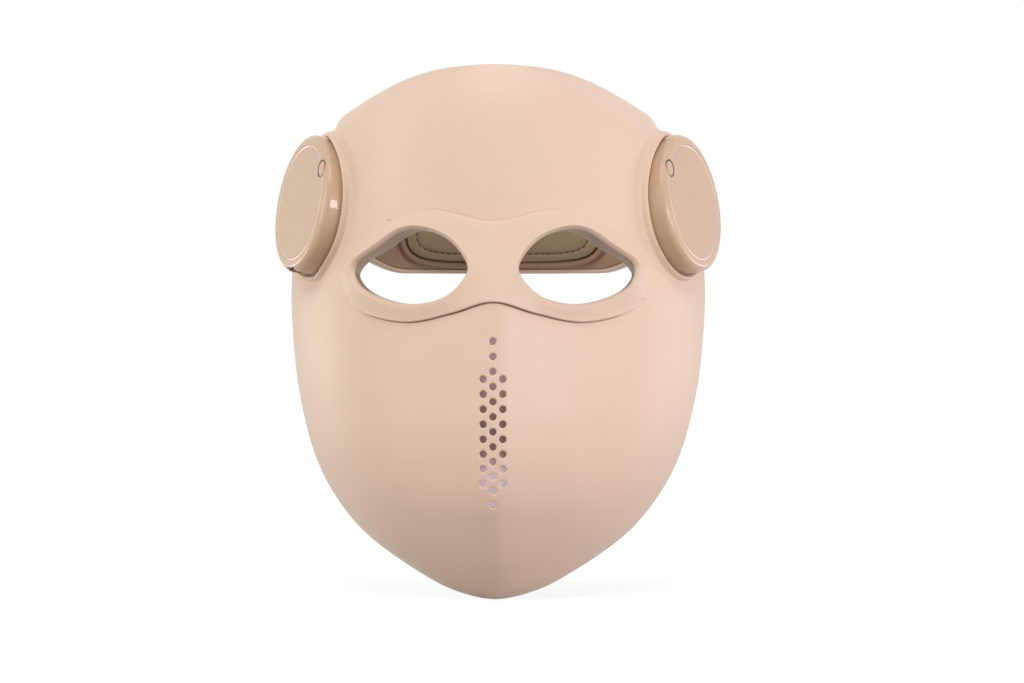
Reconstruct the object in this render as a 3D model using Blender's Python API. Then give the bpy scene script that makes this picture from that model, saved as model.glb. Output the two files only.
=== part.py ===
"""Light-therapy face mask with temple pods and a padded rear band.

Metres, +Z up, front of the mask towards -Y, origin midway between the two temple pivots.
The wearer's right side is -X, the wearer's left side is +X.
"""

import math

import bmesh
import bpy
import numpy as np
from mathutils import Matrix, Vector

# Face shell: overall sizes
MASK_TOP = 0.0592
MASK_HEIGHT = 0.2313
MASK_HALF_WIDTH = 0.0940
FRONT_REACH = 0.0839
RIM_SET_BACK = 0.0086
KEEL_RISE = 0.0060
KEEL_HALF_WIDTH = 0.0150
SHELL_WALL = 0.0022
RIM_DEPTH = 0.0125
SECTION_ROUND_SHARE = 0.93

# Right half of the outline seen from the front: shares of half width, and of height from the top
outline_shares = (
    (0.0, 0.0), (0.248, 0.0065), (0.428, 0.026), (0.633, 0.066), (0.789, 0.107),
    (0.904, 0.176), (0.968, 0.258), (1.0, 0.396), (0.994, 0.495), (0.959, 0.611),
    (0.882, 0.7265), (0.786, 0.802), (0.629, 0.877), (0.371, 0.949), (0.19, 0.985), (0.0, 1.0),
)
# How far the rim and the centre line stand in front of the ears, by share of height from the top
rim_depth_shares = (
    (0.0, 0.80), (0.0065, 0.755), (0.026, 0.665), (0.066, 0.52), (0.107, 0.37), (0.176, 0.19),
    (0.258, 0.095), (0.396, 0.0), (0.495, 0.008), (0.611, 0.06), (0.7265, 0.16), (0.802, 0.26),
    (0.877, 0.385), (0.949, 0.515), (0.985, 0.585), (1.0, 0.61),
)
centre_depth_shares = (
    (0.0, 0.80), (0.066, 0.88), (0.152, 0.93), (0.26, 0.962), (0.39, 0.985), (0.52, 1.0),
    (0.65, 1.0), (0.72, 0.989), (0.768, 0.968), (0.815, 0.932), (0.862, 0.868),
    (0.905, 0.80), (0.948, 0.722), (1.0, 0.61),
)
keel_shares = ((0.0, 0.0), (0.30, 0.0), (0.46, 1.0), (0.74, 1.0), (0.90, 0.75), (1.0, 0.25))
FACE_MIDDLE_SHARE = 0.50
FACE_SEGMENTS = 56
face_ring_shares = (0.11, 0.23, 0.35, 0.47, 0.59, 0.71, 0.83, 0.93)
OUTLINE_STEPS = 12

# Eye surround and tunnels
EYE_OFFSET = 0.0351
EYE_DROP_SHARE = 0.3774
eye_z = MASK_TOP - MASK_HEIGHT * EYE_DROP_SHARE
EYE_HALF_WIDTH = 0.0246
EYE_HALF_HEIGHT = 0.0159
front_eye_shares = (
    (-0.99, -0.09), (-0.83, -0.52), (-0.55, -0.84), (0.0, -1.0), (0.63, -0.76), (0.93, -0.47),
    (1.03, -0.14), (0.98, 0.13), (0.595, 0.53), (0.17, 0.955), (-0.19, 0.995), (-0.60, 0.755),
    (-0.87, 0.34),
)
rear_eye_shares = (
    (-0.97, -0.09), (-0.83, -0.50), (-0.55, -0.82), (0.0, -0.98), (0.60, -0.76), (0.88, -0.47),
    (0.95, -0.20), (0.773, 0.094), (0.376, 0.43), (0.087, 0.717), (-0.17, 0.94), (-0.58, 0.74),
    (-0.85, 0.33),
)
EYE_STEPS = 3
TUNNEL_WALL = 0.0015
TUNNEL_LIP = 0.0006
FRAME_ABOVE_EYES = 0.0245
frame_top = eye_z + FRAME_ABOVE_EYES
FRAME_HEIGHT = 0.0483
FRAME_HALF_WIDTH = 0.0673
FRAME_RISE = 0.0016
FRAME_COLUMNS = 18
FRAME_ROWS = 7
frame_shares = (
    (0.0, 0.108), (0.419, 0.0), (0.81, 0.193), (0.984, 0.402), (1.0, 0.561), (0.955, 0.795),
    (0.822, 0.923), (0.542, 1.0), (0.254, 0.923), (0.0, 0.83),
)

# Vent holes below the nose bridge
VENT_DROP_SHARE = 0.5153
vent_top = MASK_TOP - MASK_HEIGHT * VENT_DROP_SHARE
VENT_PITCH = 0.00636
VENT_RADIUS = 0.00155
VENT_SIDE_OFFSET = 0.0042
VENT_CENTRE_COUNT = 12
VENT_SIDE_COUNT = 8
VENT_SIDE_START_STEPS = 2.5
VENT_SIDES = 8
LINER_MARGIN = 0.0045
LINER_THICKNESS = 0.0008
LINER_SEAT = 0.0008
LINER_COLUMNS = 4
LINER_ROWS = 12

# Layers behind the shell, measured inwards from its outer face
PANEL_INSET = 0.0102
PANEL_THICKNESS = 0.0020
PANEL_EDGE_GAP = 0.0008
BOARD_THICKNESS = 0.0010
LED_HEIGHT = 0.0006
LED_BORDER = 0.0030
BOARD_SEAT = 0.0012
# Corners of each LED board: shares of half width, and of height from the top
board_shares = {
    "led_board_forehead": ((-0.362, 0.115), (0.362, 0.115), (0.489, 0.232), (-0.489, 0.232)),
    "led_board_chin": ((-0.234, 0.8615), (0.234, 0.8615), (0.138, 0.9305), (-0.138, 0.9305)),
    "led_board_cheek_left": ((0.213, 0.516), (0.723, 0.508), (0.638, 0.741), (0.213, 0.767)),
    "led_board_cheek_right": ((-0.723, 0.508), (-0.213, 0.516), (-0.213, 0.767), (-0.638, 0.741)),
}
board_cells = {
    "led_board_forehead": (6, 3),
    "led_board_chin": (3, 2),
    "led_board_cheek_left": (4, 4),
    "led_board_cheek_right": (4, 4),
}
HARNESS_INSET = 0.0048
HARNESS_RADIUS = 0.0013
HARNESS_WIDTH_SHARE = 0.479
HARNESS_DROP_SHARE = 0.1133
harness_half_width = MASK_HALF_WIDTH * HARNESS_WIDTH_SHARE
harness_z = MASK_TOP - MASK_HEIGHT * HARNESS_DROP_SHARE
harness_shares = (-1.0, -0.67, -0.33, 0.0, 0.33, 0.67, 1.0)
harness_exit_shares = (0.0, 1.2, 2.4)
HARNESS_STEPS = 3

# Clearances and cutting overrun
GAP = 0.0003
FIT = 0.0004
OVERRUN = 0.0300

# Temple pods
POD_FACE_X = 0.08785
POD_FACE_Y = -0.0204
POD_FACE_Z = 0.0018
POD_NORMAL = (0.890, -0.428, 0.157)
POD_RADIUS = 0.0310
POD_DEPTH = 0.0150
POD_EDGE = 0.0030
CAP_WALL = 0.0020
CAP_SIDE = 0.0016
CAP_SKIRT = 0.0100
CUP_WALL = 0.0016
CUP_FLOOR = 0.0030
CUP_EDGE = 0.0010
SPIGOT_TOP = 0.0068
COLLAR_DROP = 0.0085
COLLAR_WIDTH = 0.0025
INLAY_BORDER = 0.0054
inlay_radius = POD_RADIUS - INLAY_BORDER
INLAY_WIDTH = 0.0007
INLAY_THICKNESS = 0.0004
TURN_STEPS = 32
SMALL_STEPS = 16
ROUND_STEPS = 3

# Push buttons
BUTTON_RADIUS = 0.0033
BUTTON_ANGLE = math.radians(34.0)
BUTTON_SUNK = 0.00015
BUTTON_DEPTH = 0.0026
BUTTON_STEM_RADIUS = 0.0012
BUTTON_STEM = 0.0007
BUTTON_TRAVEL = 0.0004
SWITCH_SIDE = 0.0036
SWITCH_AIR = 0.0002

# Electronics in the pods
BATTERY_CLEARANCE = 0.0041
BATTERY_WIDTH = 0.0240
BATTERY_THICKNESS = 0.0040
LEDGE_WIDTH = 0.0026
POD_BOARD_THICKNESS = 0.0010
SOCKET_WIDTH = 0.0090
SOCKET_LENGTH = 0.0073
SOCKET_HEIGHT = 0.0032
SOCKET_SETBACK = 0.0012
BUZZER_RADIUS = 0.0045
BUZZER_HEIGHT = 0.0025

# Temple pivots
BOSS_FACE_X = 0.0752
BOSS_RADIUS = 0.0085
BOSS_LENGTH = 0.0115
WASHER_RADIUS = 0.0080
WASHER_THICKNESS = 0.0007
PIN_RADIUS = 0.0025
PIN_DEPTH = 0.0038
PIN_HEAD_RADIUS = 0.0055
PIN_HEAD_THICKNESS = 0.0014

# Arms
ARM_THICKNESS = 0.0025
ARM_ROOT_RADIUS = 0.0095
ARM_HALF_HEIGHT = 0.0110
ARM_LINE_X = 0.0825
JOGGLE_START = 0.0100
JOGGLE_LENGTH = 0.0160
BLADE_END = 0.0660
ROUND_END_STEPS = 5
JOGGLE_STEPS = 8

# Rear band
SLEEVE_START = 0.0320
CURVE_START = 0.0700
REAR_REACH = 0.1274
BAND_WALL = 0.0020
BAND_LIP = 0.0018
SLEEVE_HALF_HEIGHT = 0.0135
BAND_HALF_HEIGHT = 0.0265
FULL_HEIGHT_RUN = 0.0500
TAPER_LENGTH = 0.0450
BAND_CORNER = 0.0025
LINER_WALL = 0.0018
BAND_STATIONS = 30

# Head pad
PAD_HALF_WIDTH = 0.0520
PAD_HALF_HEIGHT = 0.0205
PAD_CORNER_POWER = 5.0
PAD_BOARD_THICKNESS = 0.0015
PAD_THICKNESS = 0.0115
PAD_EDGE_THICKNESS = 0.0045
PAD_SEAM_DEPTH = 0.0012
PAD_SEAM_SHARE = 0.86
PAD_SEAM_WIDTH_SHARE = 0.035
PAD_CROWN_POWER = 3.0
PAD_SEAT = 0.0006
pad_back_shares = (0.25, 0.5, 0.75, 0.965)
pad_front_shares = (0.965, 0.93, 0.895, 0.86, 0.825, 0.78, 0.62, 0.42, 0.2)
BEZEL_WIDTH = 0.0030
BEZEL_HEIGHT = 0.0028
PAD_SEGMENTS = 40

# Wearer's side soft parts
SHIELD_WIDTH = 0.0050
SHIELD_DEPTH = 0.0070
NOSE_PAD_HALF_WIDTH = 0.0170
NOSE_PAD_DROP_SHARE = 0.498
nose_pad_top = MASK_TOP - MASK_HEIGHT * NOSE_PAD_DROP_SHARE
NOSE_PAD_LENGTH = 0.0200
BROW_PAD_HALF_WIDTH = 0.0300
BROW_PAD_DROP_SHARE = 0.1262
brow_pad_top = MASK_TOP - MASK_HEIGHT * BROW_PAD_DROP_SHARE
BROW_PAD_LENGTH = 0.0160
SOFT_THICKNESS = 0.0045
SOFT_SEAT = 0.0008
SOFT_COLUMNS = 6
SOFT_ROWS = 3

# Steps along a curve that is only read from, never drawn
CURVE_SAMPLES = 400

# Fasteners
SCREW_RADIUS = 0.0011
SCREW_LENGTH = 0.0080
SCREW_HEAD_RADIUS = 0.0022
SCREW_HEAD_HEIGHT = 0.0012
SCREW_BOSS_RADIUS = 0.0032
SCREW_STEPS = 10
SCREW_HEAD_TOP_SHARE = 0.7
HEAD_SEAT = 0.0007
panel_screw_shares = ((0.362, 0.0657), (0.511, 0.7964))
BAND_SCREW_RUN = 0.0980
BAND_SCREW_RISE = 0.0070
BAND_SCREW_LENGTH = 0.0040

SIDES = {"right": -1.0, "left": 1.0}
materials = {}


def material(name, hex_colour, roughness, metallic=0.0):
    """A Principled material, made once for each name."""
    if name in materials:
        return materials[name]
    made = bpy.data.materials.new(name)
    made.use_nodes = True
    shader = made.node_tree.nodes["Principled BSDF"]
    channels = [int(hex_colour[i : i + 2], 16) / 255 for i in (0, 2, 4)]
    linear = [c / 12.92 if c <= 0.04045 else ((c + 0.055) / 1.055) ** 2.4 for c in channels]
    shader.inputs["Base Color"].default_value = (*linear, 1.0)
    shader.inputs["Roughness"].default_value = roughness
    shader.inputs["Metallic"].default_value = metallic
    made.diffuse_color = (*linear, 1.0)
    materials[name] = made
    return made


def champagne():
    return material("satin_painted_abs", "E3C8B2", 0.45)


def lacquer():
    return material("glossy_lacquered_abs", "D2B8A0", 0.12)


def white_plastic():
    return material("white_moulded_abs", "EDEAE6", 0.5)


def steel():
    return material("plated_steel", "B9B7B2", 0.3, 1.0)


def circuit_board():
    return material("white_circuit_board", "F2F2EE", 0.4)


def silicone():
    return material("soft_silicone", "E6D2C4", 0.6)


def new_object(name, points, faces, finish):
    """A mesh object with its faces turned outwards."""
    mesh = bpy.data.meshes.new(name)
    mesh.from_pydata([tuple(map(float, p)) for p in points], [], faces)
    shape = bmesh.new()
    shape.from_mesh(mesh)
    bmesh.ops.recalc_face_normals(shape, faces=shape.faces)
    shape.to_mesh(mesh)
    shape.free()
    made = bpy.data.objects.new(name, mesh)
    bpy.context.scene.collection.objects.link(made)
    if finish is None:
        made.hide_render = True
        made.display_type = "WIRE"
    else:
        mesh.materials.append(finish)
        mesh.shade_smooth()
        mesh.set_sharp_from_angle(angle=math.radians(35.0))
    return made


def from_rings(name, rings, finish, joined=False, first=None, last=None):
    """A closed body through rings of equal count, with flat or pointed ends, or joined in a loop."""
    count = len(rings[0])
    points = [p for ring in rings for p in ring]
    faces = []
    for i in range(len(rings) if joined else len(rings) - 1):
        a = i * count
        b = (i + 1) % len(rings) * count
        for j in range(count):
            k = (j + 1) % count
            faces.append((a + j, a + k, b + k, b + j))
    if not joined:
        for start, tip in ((0, first), ((len(rings) - 1) * count, last)):
            if tip is None:
                faces.append(tuple(start + j for j in range(count)))
                continue
            points.append(tip)
            faces += [(start + j, start + (j + 1) % count, len(points) - 1) for j in range(count)]
    return new_object(name, points, faces, finish)


def boolean(target, operation, tools, solver="EXACT"):
    """One Boolean of the target with all these tools."""
    group = bpy.data.collections.new(f"{target.name}_{operation.lower()}_{len(target.modifiers)}")
    for tool in tools:
        group.objects.link(tool)
    step = target.modifiers.new(group.name, "BOOLEAN")
    step.operation = operation
    step.operand_type = "COLLECTION"
    step.collection = group
    step.solver = solver


def smooth_curve(shares):
    """A monotone cubic through (place, value) pairs, as a function of place."""
    x = np.array([s[0] for s in shares])
    y = np.array([s[1] for s in shares])
    step = np.diff(x)
    slope = np.diff(y) / step
    tangent = np.zeros(len(x))
    for i in range(1, len(x) - 1):
        if slope[i - 1] * slope[i] > 0:
            before = 2 * step[i] + step[i - 1]
            after = step[i] + 2 * step[i - 1]
            tangent[i] = (before + after) / (before / slope[i - 1] + after / slope[i])
    tangent[0] = slope[0]
    tangent[-1] = slope[-1]

    def value(at):
        at = np.clip(at, x[0], x[-1])
        i = np.clip(np.searchsorted(x, at, side="right") - 1, 0, len(x) - 2)
        t = (at - x[i]) / step[i]
        rise = tangent[i] * step[i]
        fall = tangent[i + 1] * step[i]
        return (
            (2 * t**3 - 3 * t**2 + 1) * y[i]
            + (t**3 - 2 * t**2 + t) * rise
            + (3 * t**2 - 2 * t**3) * y[i + 1]
            + (t**3 - t**2) * fall
        )

    return value


def closed_curve(points, steps):
    """A smooth closed curve through the points, with this many steps between neighbours."""
    points = np.asarray(points, float)
    count = len(points)
    found = []
    for i in range(count):
        p0, p1, p2, p3 = (points[(i + k) % count] for k in (-1, 0, 1, 2))
        t0 = 0.0
        t1 = t0 + max(np.linalg.norm(p1 - p0), 1e-9) ** 0.5
        t2 = t1 + max(np.linalg.norm(p2 - p1), 1e-9) ** 0.5
        t3 = t2 + max(np.linalg.norm(p3 - p2), 1e-9) ** 0.5
        for n in range(steps):
            t = t1 + (t2 - t1) * n / steps
            a1 = ((t1 - t) * p0 + (t - t0) * p1) / (t1 - t0)
            a2 = ((t2 - t) * p1 + (t - t1) * p2) / (t2 - t1)
            a3 = ((t3 - t) * p2 + (t - t2) * p3) / (t3 - t2)
            b1 = ((t2 - t) * a1 + (t - t0) * a2) / (t2 - t0)
            b2 = ((t3 - t) * a2 + (t - t1) * a3) / (t3 - t1)
            found.append(((t2 - t) * b1 + (t - t1) * b2) / (t2 - t1))
    return np.array(found)


def spread_evenly(loop, count):
    """The same closed curve as this many points at equal distances."""
    closed = np.vstack([loop, loop[:1]])
    lengths = np.concatenate([[0.0], np.cumsum(np.linalg.norm(np.diff(closed, axis=0), axis=1))])
    at = np.linspace(0.0, lengths[-1], count, endpoint=False)
    return np.stack([np.interp(at, lengths, closed[:, i]) for i in range(2)], axis=1)


def mirrored_loop(half):
    """A closed list of (x, z) from its right half, which starts and ends on the middle line."""
    return [*half, *[(-x, z) for x, z in half[-2:0:-1]]]


# The face surface
outline_fine = closed_curve(
    mirrored_loop([(MASK_HALF_WIDTH * w, MASK_TOP - MASK_HEIGHT * d) for w, d in outline_shares]),
    OUTLINE_STEPS,
)
right_side = outline_fine[: OUTLINE_STEPS * (len(outline_shares) - 1) + 1]
rim_curve = smooth_curve(rim_depth_shares)
centre_curve = smooth_curve(centre_depth_shares)
keel_curve = smooth_curve(keel_shares)
face_rim = spread_evenly(outline_fine, FACE_SEGMENTS)
face_middle = np.array([0.0, MASK_TOP - MASK_HEIGHT * FACE_MIDDLE_SHARE])
section_end = 1 - math.sqrt(1 - SECTION_ROUND_SHARE**2)
SMALLEST_HALF = MASK_HALF_WIDTH / 100
FACE_PROBE = SHELL_WALL / 5
LAYER_ITERATIONS = 12


def face_depth(x, z):
    """Y of the outer face of the mask at (x, z)."""
    drop = np.clip((MASK_TOP - z) / MASK_HEIGHT, 0.0, 1.0)
    half = np.interp(-np.asarray(z), -right_side[:, 1], right_side[:, 0])
    across = np.clip(np.abs(x) / np.maximum(half, SMALLEST_HALF), 0.0, 1.0)
    bend = (1 - np.sqrt(1 - (SECTION_ROUND_SHARE * across) ** 2)) / section_end
    centre = -FRONT_REACH * centre_curve(drop)
    rim = RIM_SET_BACK * (1 - rim_curve(drop)) - FRONT_REACH * rim_curve(drop)
    keel = KEEL_RISE * keel_curve(drop) * np.exp(-((x / KEEL_HALF_WIDTH) ** 2)) * (1 - across**2)
    return centre + (rim - centre) * bend - keel


def inward_normal(x, z):
    """Unit normals of the face that point to the wearer."""
    by_x = (face_depth(x + FACE_PROBE, z) - face_depth(x - FACE_PROBE, z)) / (2 * FACE_PROBE)
    by_z = (face_depth(x, z + FACE_PROBE) - face_depth(x, z - FACE_PROBE)) / (2 * FACE_PROBE)
    normal = np.stack([-by_x, np.ones_like(by_x), -by_z], axis=-1)
    return normal / np.linalg.norm(normal, axis=-1, keepdims=True)


def face_points(x, z, inset, probe_x=None, probe_z=None):
    """Points at (x, z) on the face, moved inwards by inset along the normal."""
    x = np.asarray(x, float)
    z = np.asarray(z, float)
    normal = inward_normal(x if probe_x is None else probe_x, z if probe_z is None else probe_z)
    return np.stack([x, face_depth(x, z), z], axis=-1) + normal * np.expand_dims(inset, -1)


def face_ring(share, margin, inset):
    """One ring round the face, at a share of the way to a line that lies margin inside the rim."""
    reach = face_rim - face_middle
    length = np.linalg.norm(reach, axis=1, keepdims=True)
    radius = share * (length - margin)
    at = face_middle + reach / length * radius
    probe = face_middle + reach / length * np.minimum(radius, length - SHELL_WALL)
    return face_points(at[:, 0], at[:, 1], np.full(FACE_SEGMENTS, inset), probe[:, 0], probe[:, 1])


def face_tip(inset):
    return face_points(face_middle[0], face_middle[1], inset)


def face_patch(name, corners, columns, rows, inset, thickness, finish, saddle=False):
    """A closed sheet that follows the face between four (x, z) corners; a saddle is thick along Y."""
    corners = np.asarray(corners, float)
    across = np.linspace(0.0, 1.0, columns + 1)
    down = np.linspace(0.0, 1.0, rows + 1)
    s, t = np.meshgrid(across, down)
    s = s[..., None]
    t = t[..., None]
    flat = (1 - t) * ((1 - s) * corners[0] + s * corners[1]) + t * ((1 - s) * corners[3] + s * corners[2])
    flat = flat.reshape(-1, 2)
    near = face_points(flat[:, 0], flat[:, 1], np.full(len(flat), inset))
    if saddle:
        far = near + np.array([0.0, thickness, 0.0])
    else:
        far = face_points(flat[:, 0], flat[:, 1], np.full(len(flat), inset + thickness))
    wide = columns + 1
    offset = len(flat)
    faces = []
    for r in range(rows):
        for c in range(columns):
            a = r * wide + c
            faces.append((a, a + 1, a + 1 + wide, a + wide))
            faces.append((a + offset, a + wide + offset, a + 1 + wide + offset, a + 1 + offset))
    border = [c for c in range(wide)]
    border += [r * wide + columns for r in range(1, rows + 1)]
    border += [rows * wide + c for c in range(columns - 1, -1, -1)]
    border += [r * wide for r in range(rows - 1, 0, -1)]
    for a, b in zip(border, border[1:] + border[:1]):
        faces.append((a, b, b + offset, a + offset))
    return new_object(name, [*near, *far], faces, finish)


def prism(name, loop, y_from, y_to):
    """A cutter with this (x, z) outline, along Y."""
    rings = [[(x, y, z) for x, z in loop] for y in (y_from, y_to)]
    return from_rings(name, rings, None)


def grown(loop, by):
    """The closed (x, z) loop moved outwards by a distance."""
    ahead = np.roll(loop, -1, axis=0) - np.roll(loop, 1, axis=0)
    normal = np.stack([ahead[:, 1], -ahead[:, 0]], axis=1)
    normal /= np.linalg.norm(normal, axis=1, keepdims=True)
    area = np.sum(loop[:, 0] * np.roll(loop[:, 1], -1) - np.roll(loop[:, 0], -1) * loop[:, 1])
    return loop + normal * by * np.sign(area)


FRONT_PLANE = -FRONT_REACH - OVERRUN
REAR_PLANE = OVERRUN
tunnel_end = PANEL_INSET + PANEL_THICKNESS + TUNNEL_LIP


def eye_loop(sign, shares, grow):
    points = [
        (sign * (EYE_OFFSET + EYE_HALF_WIDTH * e), eye_z + EYE_HALF_HEIGHT * v) for e, v in shares
    ]
    return grown(closed_curve(points, EYE_STEPS), grow)


def on_face(loop, inset, back=0.0):
    """The loop moved along Y on to the layer at this inset, and then back by a further length."""
    x, z = loop[:, 0], loop[:, 1]
    from_x, from_z = x, z
    for _ in range(LAYER_ITERATIONS):
        normal = inward_normal(from_x, from_z)
        from_x = x - inset * normal[:, 0]
        from_z = z - inset * normal[:, 2]
    y = face_depth(from_x, from_z) + inset * normal[:, 1] + back
    return np.stack([x, y, z], axis=1)


def eye_cutter(name, sign, grow):
    """The see-through of one eye, or the hole that its tunnel passes through when grown."""
    front = eye_loop(sign, front_eye_shares, grow)
    rear = eye_loop(sign, rear_eye_shares, grow)
    rings = [
        [(x, FRONT_PLANE, z) for x, z in front],
        on_face(front, -2 * FRAME_RISE),
        on_face(rear, tunnel_end + FRAME_RISE),
        [(x, REAR_PLANE, z) for x, z in rear],
    ]
    return from_rings(name, rings, None)


def tunnel_solid(name, sign):
    front = eye_loop(sign, front_eye_shares, TUNNEL_WALL)
    rear = eye_loop(sign, rear_eye_shares, TUNNEL_WALL)
    rings = [on_face(front, -FRAME_RISE / 2), on_face(front, SHELL_WALL), on_face(rear, tunnel_end)]
    tips = [np.mean(rings[0], axis=0), np.mean(rings[-1], axis=0)]
    return from_rings(name, rings, None, first=tips[0], last=tips[1])


# Pod frames
def pod_frame(side):
    """Axes of a pod at the centre of its face: forward, up and outward, as a 4x4 matrix."""
    sign = SIDES[side]
    outward = Vector((sign * POD_NORMAL[0], POD_NORMAL[1], POD_NORMAL[2])).normalized()
    up = Vector((0.0, 0.0, 1.0))
    up = (up - up.dot(outward) * outward).normalized()
    first = up.cross(outward)
    turn = Matrix((first, up, outward)).transposed().to_4x4()
    return Matrix.Translation((sign * POD_FACE_X, POD_FACE_Y, POD_FACE_Z)) @ turn


def forward_sign(side):
    """+1 where a pod's first axis points to the front of the mask, -1 where it points back."""
    return 1.0 if side == "right" else -1.0


def turned(name, profile, frame, finish, steps=TURN_STEPS, joined=False):
    """A body turned about the frame's third axis from (radius, height) points."""
    rings = []
    for radius, height in profile:
        if radius > 0:
            turn = [2 * math.pi * i / steps for i in range(steps)]
            rings.append([frame @ Vector((radius * math.cos(a), radius * math.sin(a), height)) for a in turn])
    if joined:
        return from_rings(name, rings, finish, joined=True)
    first = frame @ Vector((0.0, 0.0, profile[0][1]))
    last = frame @ Vector((0.0, 0.0, profile[-1][1]))
    return from_rings(name, rings, finish, first=first, last=last)


def block(name, low, high, frame, finish):
    """A box between two corners of a frame."""
    corners = [
        frame @ Vector((x, y, z)) for z in (low[2], high[2]) for x, y in
        ((low[0], low[1]), (high[0], low[1]), (high[0], high[1]), (low[0], high[1]))
    ]
    return from_rings(name, [corners[:4], corners[4:]], finish)


def edge_arc(radius, height, round_by, steps=ROUND_STEPS):
    """Points of a quarter round from a flat face at this height out to this radius."""
    turn = [math.pi / 2 * i / steps for i in range(steps + 1)]
    return [
        (radius - round_by + round_by * math.sin(a), height - round_by + round_by * math.cos(a))
        for a in turn
    ]


def axis_frame(point, direction):
    """A frame at a point whose third axis is the direction."""
    return Matrix.Translation(point) @ Vector(direction).to_track_quat("Z", "Y").to_matrix().to_4x4()


def screw(name, point, direction, length, finish):
    """A pan-head screw: the head's underside is at the point, the shank goes along the direction."""
    frame = axis_frame(point, direction)
    profile = [
        (0.0, -SCREW_HEAD_HEIGHT),
        (SCREW_HEAD_RADIUS * SCREW_HEAD_TOP_SHARE, -SCREW_HEAD_HEIGHT),
        (SCREW_HEAD_RADIUS, -SCREW_HEAD_HEIGHT / 2),
        (SCREW_HEAD_RADIUS, 0.0),
        (SCREW_RADIUS, 0.0),
        (SCREW_RADIUS, length - SCREW_RADIUS),
        (0.0, length),
    ]
    return turned(name, profile, frame, finish, SCREW_STEPS)


def vent_places():
    """(x, z) of every vent hole, at an equal pitch measured along the face."""
    z = np.linspace(vent_top, MASK_TOP - MASK_HEIGHT, CURVE_SAMPLES)
    y = face_depth(np.zeros_like(z), z)
    run = np.concatenate([[0.0], np.cumsum(np.hypot(np.diff(z), np.diff(y)))])
    places = [(0.0, np.interp(VENT_PITCH * i, run, z)) for i in range(VENT_CENTRE_COUNT)]
    for sign in SIDES.values():
        for i in range(VENT_SIDE_COUNT):
            along = VENT_PITCH * (i + VENT_SIDE_START_STEPS)
            places.append((sign * VENT_SIDE_OFFSET, np.interp(along, run, z)))
    return places


def vent_cutter():
    points = []
    faces = []
    for x, z in vent_places():
        base = len(points)
        back = float(face_depth(x, z)) + SHELL_WALL + LINER_THICKNESS
        for y in (FRONT_PLANE, back):
            for i in range(VENT_SIDES):
                a = 2 * math.pi * i / VENT_SIDES
                points.append((x + VENT_RADIUS * math.cos(a), y, z + VENT_RADIUS * math.sin(a)))
        for i in range(VENT_SIDES):
            k = (i + 1) % VENT_SIDES
            faces.append((base + i, base + k, base + VENT_SIDES + k, base + VENT_SIDES + i))
        faces.append(tuple(base + i for i in range(VENT_SIDES)))
        faces.append(tuple(base + VENT_SIDES + i for i in range(VENT_SIDES)))
    return new_object("vent_cutter", points, faces, None)


def panel_screw_places():
    return [
        (sign * MASK_HALF_WIDTH * w, MASK_TOP - MASK_HEIGHT * d)
        for sign in SIDES.values() for w, d in panel_screw_shares
    ]


def normal_frame(place, inset):
    """A frame on the face whose third axis points inwards."""
    x, z = place
    return axis_frame(face_points(x, z, inset), inward_normal(np.array(x), np.array(z)))


def harness_holes():
    """Frames of the cable holes in the collars: third axis pointing away from the pod's middle."""
    frames = {}
    for side in SIDES:
        frame = pod_frame(side)
        ahead = Vector((forward_sign(side) * math.cos(BUTTON_ANGLE), math.sin(BUTTON_ANGLE), 0.0))
        at = frame @ (ahead * (POD_RADIUS + GAP) + Vector((0.0, 0.0, -(CAP_SKIRT + POD_DEPTH) / 2)))
        frames[side] = axis_frame(at, frame.to_3x3() @ ahead)
    return frames


def make_front_shell():
    rings = [face_ring(share, 0.0, 0.0) for share in face_ring_shares]
    rings.append(face_ring(1.0, 0.0, 0.0))
    rings.append(face_ring(1.0, 0.0, RIM_DEPTH))
    rings.append(face_ring(1.0, SHELL_WALL, RIM_DEPTH))
    rings.append(face_ring(1.0, SHELL_WALL, SHELL_WALL))
    rings += [face_ring(share, SHELL_WALL, SHELL_WALL) for share in face_ring_shares[::-1]]
    shell = from_rings("front_shell", rings, champagne(), first=face_tip(0.0), last=face_tip(SHELL_WALL))
    openings = [pod_bore(f"shell_bore_{side}", side, COLLAR_WIDTH / 2) for side in SIDES]
    openings.append(prism("shell_eye_opening", grown(frame_loop(), FIT), FRONT_PLANE, REAR_PLANE))
    boolean(shell, "DIFFERENCE", openings, "MANIFOLD")
    added = [collar_ring(side) for side in SIDES]
    added += [screw_boss(f"shell_boss_{i}", place) for i, place in enumerate(panel_screw_places())]
    boolean(shell, "UNION", added, "MANIFOLD")
    boolean(shell, "DIFFERENCE", [vent_cutter(), *[cable_hole(side) for side in SIDES]], "MANIFOLD")
    return shell


def collar_ring(side):
    """The raised lip of the shell round a pod."""
    inner = POD_RADIUS + FIT
    outer = inner + COLLAR_WIDTH
    line = [(inner, -COLLAR_DROP), (outer, -COLLAR_DROP), (outer, -POD_DEPTH), (inner, -POD_DEPTH)]
    return turned(f"collar_{side}", line, pod_frame(side), None, joined=True)


def screw_boss(name, place):
    """A boss inside the shell with a blind hole for a panel screw."""
    top = PANEL_INSET - GAP - SHELL_WALL / 2
    hole = SCREW_RADIUS + GAP
    line = [
        (0.0, 0.0), (SCREW_BOSS_RADIUS, 0.0), (SCREW_BOSS_RADIUS, top),
        (hole, top), (hole, SHELL_WALL), (0.0, SHELL_WALL),
    ]
    return turned(name, line, normal_frame(place, SHELL_WALL / 2), None, SCREW_STEPS)


def cable_hole(side):
    hole = HARNESS_RADIUS + FIT
    line = [(0.0, -COLLAR_WIDTH), (hole, -COLLAR_WIDTH), (hole, COLLAR_WIDTH * 3), (0.0, COLLAR_WIDTH * 3)]
    return turned(f"cable_hole_{side}", line, harness_holes()[side], None, SCREW_STEPS)


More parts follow.
